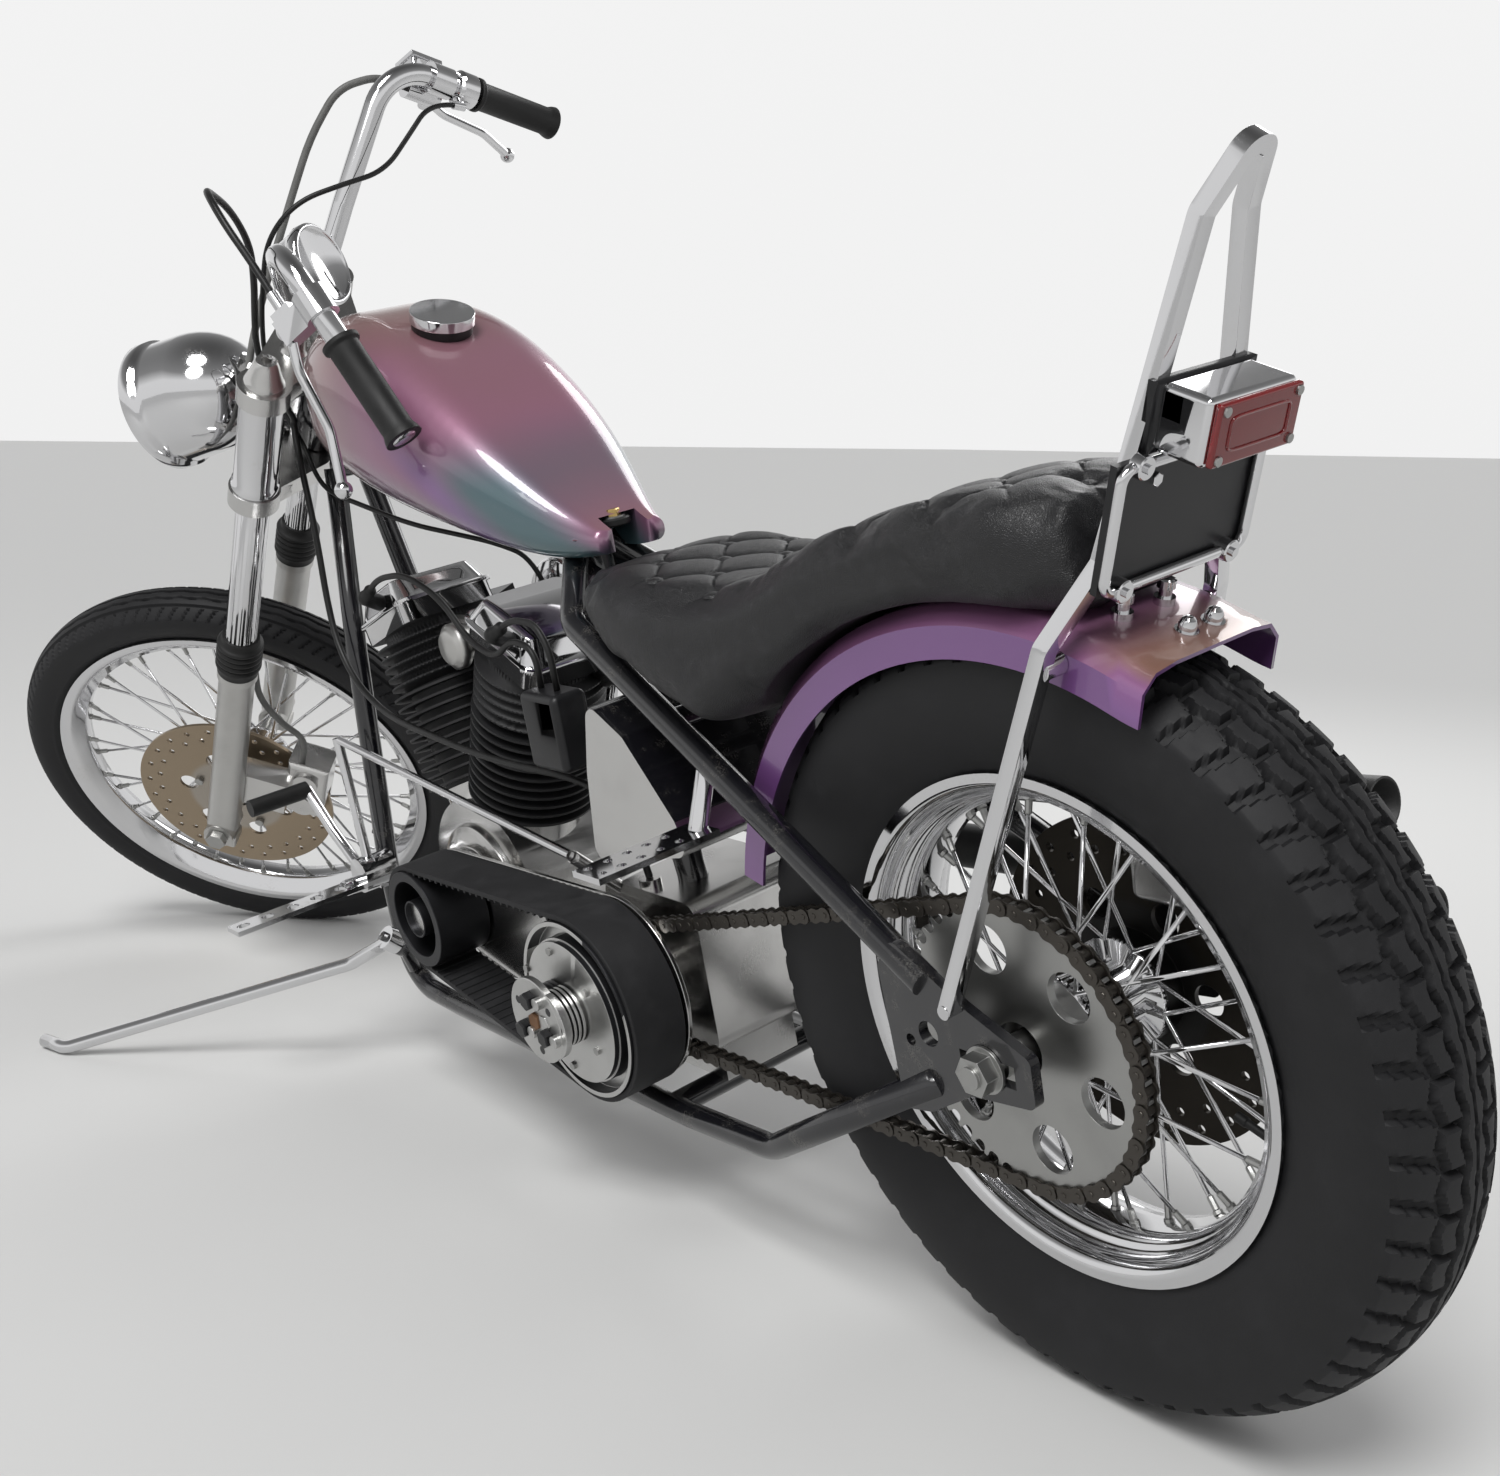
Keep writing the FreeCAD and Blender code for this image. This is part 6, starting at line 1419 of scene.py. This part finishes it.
# Small fittings
@dataclass
class Fittings:
    """Bolts, clamps, screws and trim that the solids leave out."""

    lens_face: float = -56.0
    rod_u: float = -13.2
    clutch_face: float = 158.0
    belt_radii: tuple[float, float] = (58.3, 95.3)
    belt_edge: float = 95.0
    belt_width: float = 60.0
    rib_pitch: float = 13.0
    tank_foot: Point = (556.0, 0.0, 723.0)

    def make(self, build: Build) -> None:
        """Adds them all."""
        self.tail(build)
        self.clutch(build)
        self.belt(build)
        self.tank(build)
        self.fender(build)

    def tail(self, build: Build) -> None:
        """Lens screws and rim, plate bolts and rod clamps."""
        screws = [((self.lens_face, y, w), REARWARD) for y in (-38, 38) for w in (52, 85)]
        build.repeat("lens_screws", head(7.0, 1.8, 12), screws, STEEL, LOOP)
        t = np.linspace(0, 2 * np.pi, 48, endpoint=False)
        rim = np.column_stack([np.full(48, self.lens_face - 0.2), 31 * squarish(np.cos(t), 0.25),
                               68.5 + 11.5 * squarish(np.sin(t), 0.25)])
        build.piece("lens_rim", bead(rim, 1.1).placed(LOOP), RED_LENS, "frame")
        build.repeat("plate_bolts", head(9.0, 4.0), [((-9.4, y, 24.0), REARWARD) for y in (-36, 36)], CHROME, LOOP)
        spots = [((self.rod_u, y, w), REARWARD) for y, w in ((58, 38.6), (-58, 38.6), (58, -50), (-58, -50))]
        clamp = turned([(-4.6, 0), (-4.6, 7.5), (-3.6, 8.5), (5.0, 8.5), (6.0, 7.6), (6.0, 3.4), (8.6, 3.4), (8.6, 0)],
                       24)
        build.repeat("rod_clamps", clamp, spots, CHROME, LOOP)

    def round_shaft(self, radius: float, count: int, out: float, first: float = 0.0) -> list[tuple[Point, Point]]:
        """Spots on a circle about the clutch's shaft.

        Args:
            radius: the circle's radius.
            count: number of spots.
            out: how far they stand out from the clutch's face.
            first: angle of the first one, in degrees.
        Returns:
            (point, axis) for each.
        """
        x, z = CLUTCH_SHAFT
        return [((x + radius * math.cos(a), self.clutch_face + out, z + radius * math.sin(a)), LEFT)
                for a in np.radians(first + np.arange(count) * 360.0 / count)]

    def clutch(self, build: Build) -> None:
        """The pressure plate with its coils, black discs of painted shade for its holes, and screws; the black stud
        caps and the rusty centre bolt.
        """
        coil = ((0.0, 31.0), (0.8, 32.2), (3.0, 32.2), (3.8, 31.0), (4.4, 27.0), (5.2, 27.0))
        coils = [(5.5 * i + along, radius) for i in range(4) for along, radius in coil]
        plate = turned([(0, 7.5), (0, 45), (0.8, 46), (7.0, 46), (7.8, 45), (7.8, 7.5)], 64)
        for name, shape, spots, finish in (
                ("clutch_springs", turned([(0.0, 14.5)] + coils + [(21.6, 14.5)], 48), (0.0, 1, 7.8), PLASTIC),
                ("clutch_plate", plate, (0.0, 1, 29.7), TURNED_ALLOY),
                # Thin black discs are painted shade where the plate's holes are.
                ("clutch_holes", head(9.0, 0.7, 20), (33, 3, 37.0, 30), PLASTIC),
                ("clutch_studs", head(17.0, 10.0), (24, 3, 37, 90), PLASTIC),
                ("clutch_bolt", head(17.0, 4.0), (0.0, 1, 36.8), RUSTY),
                ("pressure_screws", head(8.0, 3.0), (64, 6, 6, 30), STEEL)):
            build.repeat(name, shape, self.round_shaft(*spots), finish)

    def belt(self, build: Build) -> None:
        """Ribs across the inner face of the belt's two straight runs."""
        (small, large), start, end = self.belt_radii, np.array([CRANK[0], CRANK[2]]), np.array(CLUTCH_SHAFT)
        reach = float(np.linalg.norm(end - start))
        along = math.atan2(*(end - start)[::-1])
        lean = math.asin((large - small) / reach)
        section = ((-2.2, 1.0), (2.2, 1.0), (1.5, -2.6), (-1.5, -2.6))
        rib = grid(np.array([[(x, y, z) for x, z in section] for y in (0.0, self.belt_width)]), wrap_v=True, caps=True)
        count = int(reach / self.rib_pitch)
        step = (np.arange(count) + 0.5) * (reach * math.cos(lean) / count)
        parts = []
        for side in (1, -1):
            angle = along - side * (math.pi / 2 + lean)
            out = np.array([math.cos(angle), math.sin(angle)])
            run = np.array([-out[1], out[0]]) * -side
            spots = start + small * out + step[:, None] * (run if run @ (end - start) > 0 else -run)
            parts.append(rib.repeated(upright(run, out, spots, self.belt_edge)))
        build.piece("belt_ribs", parts[0].join(parts[1]).placed(BIKE), BELT, "frame", merge=1e-7)

    def tank(self, build: Build) -> None:
        """The tank's rear mount: a rubber ring, a washer and a brass nut."""
        ring = turned([(0, 0), (0, 15), (1.5, 17), (6.5, 17), (8, 15), (8, 0)])
        washer = turned([(8, 0), (8, 12.5), (9.6, 12.5), (9.6, 0)], 28)
        build.repeat("tank_mount_ring", ring, [(self.tank_foot, UP)], RUBBER)
        build.repeat("tank_mount_washer", washer, [(self.tank_foot, UP)], STEEL)
        build.repeat("tank_mount_nut", head(14.0, 7.0), [((556.0, 0.0, 732.4), UP)], BRASS)

    def on_crown(self, x: float, y: float) -> tuple[Point, Point]:
        """A spot on the fender's crown."""
        z = math.sqrt(FENDER_RADIUS ** 2 - x ** 2)
        return (x, y, REAR_AXLE_UP + z - 0.5), (x / FENDER_RADIUS, 0.0, z / FENDER_RADIUS)

    def fender(self, build: Build) -> None:
        """Acorn bolts on the fender's tail, and the studs that hold it."""
        acorn = turned([(0, 0), (0, 9), (1.5, 9), (1.5, 6.8), (6, 6.8), (9.5, 5.2), (11.5, 2.6), (12, 0)], 20)
        stud = turned([(0, 0), (0, 8), (6, 8), (6, 5), (13, 5), (13, 7), (19, 7), (20, 5), (20, 0)], 16)
        for name, shape, places in (("fender_bolts", acorn, ((-140, 2), (-141, -26))),
                                    ("fender_studs", stud, ((-104, 26), (-106, -18)))):
            build.repeat(name, shape, [self.on_crown(*place) for place in places], CHROME)


# Studio
@dataclass
class Studio:
    """Floor, lamps, world and the camera at the photograph's angle."""

    place: Point = (-1.69203, 1.00798, 0.78154)
    turn: Point = (80.4, -0.7089, -128.3939)
    lens: float = 42.2406
    middle: Point = (0.0, 0.0, 0.5)
    floor_reach: float = 150.0
    backdrop: tuple[tuple[float, float], ...] = (
        (0.0, 0.10), (0.40, 0.30), (0.49, 0.88), (0.66, 0.90), (0.76, 0.30), (1.0, 0.10))

    def make(self) -> None:
        """Adds the floor, the lamps, the world and the camera."""
        self.floor()
        self.light("sky", "SUN", Vector((0.35, -0.55, -1.0)), energy=1.8, angle=math.radians(24.0))
        for name, place, size, power in (("key", (-1.5, 2.6, 2.9), 1.6, 34.0), ("back", (0.9, -2.6, 2.6), 1.8, 30.0)):
            aim = Vector(self.middle) - Vector(place)
            self.light(name, "AREA", aim, shape="DISK", size=size, energy=power).location = place
        self.world()
        camera = stand("camera", bpy.data.cameras.new("camera"))
        camera.location = self.place
        camera.rotation_euler = [math.radians(a) for a in self.turn]
        camera.data.lens = self.lens
        camera.data.sensor_width = 36.0
        bpy.context.scene.camera = camera
        bpy.context.scene.view_settings.view_transform = "Standard"

    def floor(self) -> None:
        """A wide pale plane a little under the tyres."""
        mesh = bpy.data.meshes.new("floor")
        corners = ((-1, -1), (1, -1), (1, 1), (-1, 1))
        mesh.from_pydata([(self.floor_reach * x, self.floor_reach * y, -0.001) for x, y in corners], [],
                         [(0, 1, 2, 3)])
        shader = Shader("floor").set(Base_Color=(0.62, 0.62, 0.61), Roughness=0.85)
        mesh.materials.append(shader.material)
        floor = stand("floor", mesh)

    def light(self, name: str, kind: str, ray: Vector, **settings: Any) -> Any:
        """Adds a lamp.

        Args:
            name: its name.
            kind: SUN or AREA.
            ray: the way that its light goes.
            settings: its properties.
        Returns:
            The object.
        """
        data = bpy.data.lights.new(name, kind)
        for key, value in settings.items():
            setattr(data, key, value)
        lamp = stand(name, data)
        lamp.rotation_euler = ray.to_track_quat("-Z", "Y").to_euler()
        return lamp

    def world(self) -> None:
        """A pale backdrop for the camera, metal and glass, darker overhead; a soft even grey for everything else."""
        world = bpy.data.worlds.new("studio")
        world.use_nodes = True
        nodes = Nodes(world.node_tree)
        height = nodes.wire("ShaderNodeSeparateXYZ", {},
                            {0: nodes.wire("ShaderNodeTexCoord", {}, {}, "Generated")}, 2)
        backdrop = nodes.ramp(height * 0.5 + 0.5, [(place, (value,) * 3) for place, value in self.backdrop])
        path = nodes.node("ShaderNodeLightPath", {}, {})
        camera, glossy, through = (Wire(nodes, path.outputs["Is %s Ray" % kind])
                                   for kind in ("Camera", "Glossy", "Transmission"))
        seen = camera.highest(glossy).highest(through)
        back = nodes.tree.nodes["Background"]
        nodes.link(nodes.mix(seen, (0.42, 0.42, 0.43), backdrop), back.inputs["Color"])
        nodes.link(1.0, back.inputs["Strength"])
        bpy.context.scene.world = world


# Plain dressing of the nodes that need no new shape
FINISHES: dict[str, tuple[Finish, float]] = {
    "frame_neck": (FRAME_BLACK, 0.0), "down_tubes": (FRAME_BLACK, 0.0), "upper_rails": (FRAME_BLACK, 0.0006),
    "rear_axle": (STEEL, 0.0005), "fuel_tank": (BODY_PAINT, 0.0), "tank_cap": (CHROME, 0.001),
    "rear_fender": (BODY_PAINT, 0.0), "sissy_bar": (CHROME, 0.001), "tail_lamp": (CHROME, 0.0),
    "tail_lens": (RED_LENS, 0.0), "plate_frame": (CHROME, 0.001), "crankcase": (POLISHED, 0.0012),
    "cylinders": (BARREL, 0.0004), "cylinder_heads": (BARREL, 0.0), "gearbox": (POLISHED, 0.0012),
    "primary_plate": (POLISHED, 0.0008), "primary_belt": (BELT, 0.0008), "front_pulley": (DARK_STEEL, 0.0008),
    "clutch": (TURNED_ALLOY, 0.0006), "oil_tank": (POLISHED, 0.002),
    "exhausts": (EXHAUST_BLACK, 0.0), "air_cleaner": (CHROME, 0.0006), "pushrods": (CHROME, 0.0),
    "coil_box": (PLASTIC, 0.0), "ignition_leads": (RUBBER, 0.0), "foot_controls": (CHROME, 0.0008),
    "passenger_pegs": (CHROME, 0.0006), "kick_starter": (CHROME, 0.0), "rear_brake": (DARK_STEEL, 0.0),
    "rear_caliper": (POLISHED, 0.001), "side_stand": (CHROME, 0.0), "rear_sprocket": (STEEL, 0.0004),
    "fork_sliders": (SATIN, 0.0006), "fork_tubes": (CHROME, 0.0), "fork_boots": (RUBBER, 0.0),
    "triple_trees": (POLISHED, 0.001), "handlebar": (CHROME, 0.0), "grips": (RUBBER, 0.0008),
    "headlamp": (CHROME, 0.0), "headlamp_lens": (GLASS, 0.0), "speedometer": (CHROME, 0.0),
    "front_caliper": (POLISHED, 0.001), "front_axle": (STEEL, 0.0005), "hand_levers": (CHROME, 0.0006),
    "front_hose": (HOSE, 0.0),
}


PATCHES: dict[str, tuple[Patch, ...]] = {
    "plate_frame": (Patch(PLASTIC, low=(-9.7, -200.0, -200.0), axes=LOOP),),
    "tail_lamp": (Patch(PLASTIC, low=(-11.3, -200.0, -200.0), axes=LOOP),),
    "tank_cap": (Patch(PLASTIC, high=(60.0, 60.0, 15.6), axes=TANK_CAP),),
    "oil_tank": (Patch(FRAME_BLACK, up=0.45),),
    "cylinder_heads": (
        Patch(SATIN, low=(836.0, -200.0, 470.0), high=(906.0, 200.0, 640.0)),
        Patch(CHROME, low=(-95.0, -125.0, 325.0), high=(95.0, 125.0, 420.0), axes=FRONT_VEE),
        Patch(CHROME, low=(-95.0, -125.0, 325.0), high=(95.0, 125.0, 420.0), axes=REAR_VEE)),
    "clutch": (Patch(RUBBER, low=(0.0, 165.5, 0.0), high=(800.0, 187.6, 800.0), line=(*CLUTCH_SHAFT, 0.0, 32.0)),
               Patch(DARK_STEEL, line=(*CLUTCH_SHAFT, 77.0, 200.0)),),
    "foot_controls": (Patch(RUBBER, low=(1000.0, 140.0, 300.0), line=(1165.0, 398.0, 0.0, 11.6)),),
}


def main() -> None:
    """Builds the classes in order."""
    logging.basicConfig(level=logging.INFO, format="%(message)s")
    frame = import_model()
    build = Build(frame)
    front = Tyre("front_tyre", "front_wheel", FORK, radius=339, width=74, crown=44, rim_radius=280, rim_width=62,
                 tread=Tread.RIBBED)
    rear = Tyre("rear_tyre", "rear_wheel", REAR_WHEEL, radius=336, width=128, crown=92, rim_radius=217, rim_width=96,
                tread=Tread.BLOCKS)
    Wheel("front", front, FRONT_DISC, disc_y=62.0, hub_half=42.0).make(build)
    Wheel("rear", rear, REAR_DISC, disc_y=-66.0, hub_half=46.0).make(build)
    Saddle().make(build)
    Chain().make(build)
    CLUTCH_CABLE.make(build, ("frame_cables", "fork_cables"))
    THROTTLE_CABLE.make(build)
    Fittings().make(build)
    for node, (finish, bevel) in FINISHES.items():
        build.dress(node, finish, bevel)
    Studio().make()


if __name__ == "__main__":
    main()
